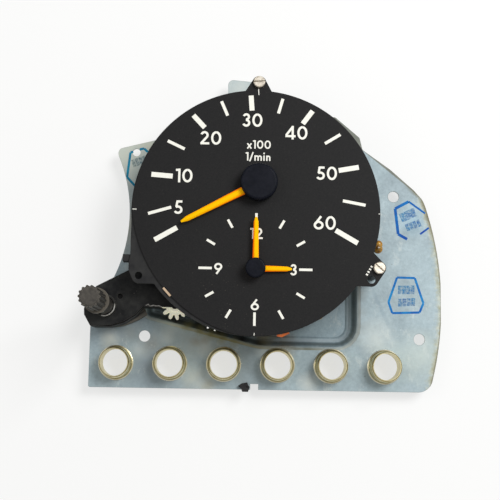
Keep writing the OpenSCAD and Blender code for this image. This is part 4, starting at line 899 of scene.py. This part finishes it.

# %% [markdown]
# ## Rubbed rim and torn edge
# The rim of the knob's collar is rubbed, and pale on one side, where a painted highlight lies along it. The arm's
# moulding is torn beside the cream gear. Each is one pale ribbon laid along the edge.

# %% Rubbed rim and torn edge
RIM_RADIUS = 4.65
TORN_EDGE_BELOW = 3.6
# One pale finish serves both: wear on the torn edge, and wear with a painted highlight on the collar's rim.
rubbed_and_highlit = Finish("rubbed_edge", (0.36, 0.35, 0.32), 0.35)
rubbed_and_highlit.colour(rubbed_and_highlit.ramp(rubbed_and_highlit.noise(1.0, 3), (0.35, (0.16, 0.15, 0.13)), (0.6, (0.50, 0.49, 0.46))))
rubbed_and_highlit.bump(rubbed_and_highlit.noise(0.4, 2), 0.02)
collar_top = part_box("setting_arm_cover")[1].z / MM
rim = [knob_axis.xy + turn(RIM_RADIUS, a) for a in range(-105, 11, 5)]
print_ink("rubbed_and_highlit_rim", [(rim, 0.5)], collar_top, rubbed_and_highlit)
torn_edge = [(-48.6, -41.6), (-47.4, -41.2), (-46.6, -42.0), (-45.2, -41.5), (-44.0, -41.8), (-42.6, -41.7),
             (-41.3, -42.3)]
print_ink("torn_arm_edge", [(torn_edge, 0.45)], collar_top - TORN_EDGE_BELOW, rubbed_and_highlit)
print("collar's top at", round(collar_top, 2), "mm")

# %% [markdown]
# ## The arm's stepped foot
# Below its knee the setting arm spreads onto the plate in two low steps with rubbed edges. They are thin trim
# on a solid that is already there, so a skirt is enough: rails that follow each step's edge, with faces
# between neighbouring rails. A curve through a few measured points keeps each rail smooth.

# %% Tools for a skirt
def smooth(points, per_span=5):
    """Points along a curve that passes through all the given ones."""
    points = [Vector(q) for q in points]
    curve = []
    for i in range(len(points) - 1):
        p0, p1, p2, p3 = points[max(i - 1, 0)], points[i], points[i + 1], points[min(i + 2, len(points) - 1)]
        for k in range(per_span):
            t = k / per_span
            curve.append(0.5 * (2 * p1 + (p2 - p0) * t + (2 * p0 - 5 * p1 + 4 * p2 - p3) * t * t
                                + (3 * p1 - p0 - 3 * p2 + p3) * t ** 3))
    return curve + [points[-1]]

def add_skirt(name, rails, finish):
    shape = bmesh.new()
    rows = [[shape.verts.new((q.x * MM, q.y * MM, z * MM)) for q in smooth(points)] for points, z in rails]
    for upper, lower in zip(rows, rows[1:]):
        for a, b, c, d in zip(upper, upper[1:], lower[1:], lower):
            shape.faces.new((a, b, c, d))
    bmesh.ops.recalc_face_normals(shape, faces=shape.faces)
    return add_piece(name, shape, finish)

print("skirt tools ready")

# %% Skirt of the setting arm
FOOT_SPAN = 20
foot_plastic = Finish("foot_plastic", (0.045, 0.041, 0.034), 0.7).shine(0.25)
foot_tone = foot_plastic.ramp(foot_plastic.noise(3, 4), (0.35, (0.030, 0.028, 0.024)), (0.7, (0.065, 0.057, 0.045)))
rubbed_steps = foot_plastic.ramp_over(foot_plastic.height_mm(), FOOT_SPAN, (0.42, 0.4), (0.44, 0.0),
                                      (0.516, 0.0), (0.519, 0.9), (0.529, 0.9), (0.533, 0.0),
                                      (0.655, 0.0), (0.659, 0.9), (0.671, 0.9), (0.676, 0.0))
foot_plastic.colour(foot_plastic.mix(rubbed_steps, foot_tone, (0.15, 0.14, 0.118)))
foot_plastic.bump(foot_plastic.noise(1.0, 3), 0.03)

knee = [(-66.5, -49.6), (-61.9, -48.6), (-59.2, -47.6), (-55.7, -45.8), (-53.1, -43.8), (-50.6, -41.2)]
upper_step = [(-66.5, -51.1), (-61.9, -50.1), (-58.4, -48.7), (-54.9, -46.8), (-51.7, -44.7), (-49.6, -42.6)]
lower_step = [(-66.5, -51.3), (-60.0, -50.5), (-56.5, -49.3), (-53.8, -48.1), (-51.6, -47.0), (-48.6, -45.1)]
foot_rails = [(knee, 13.6), (upper_step, 13.2), (upper_step, 10.7), (lower_step, 10.4),
              (lower_step, sheet_front + INK_LIFT)]
add_skirt("arm_foot", foot_rails, foot_plastic)
print("skirt rails:", len(foot_rails))
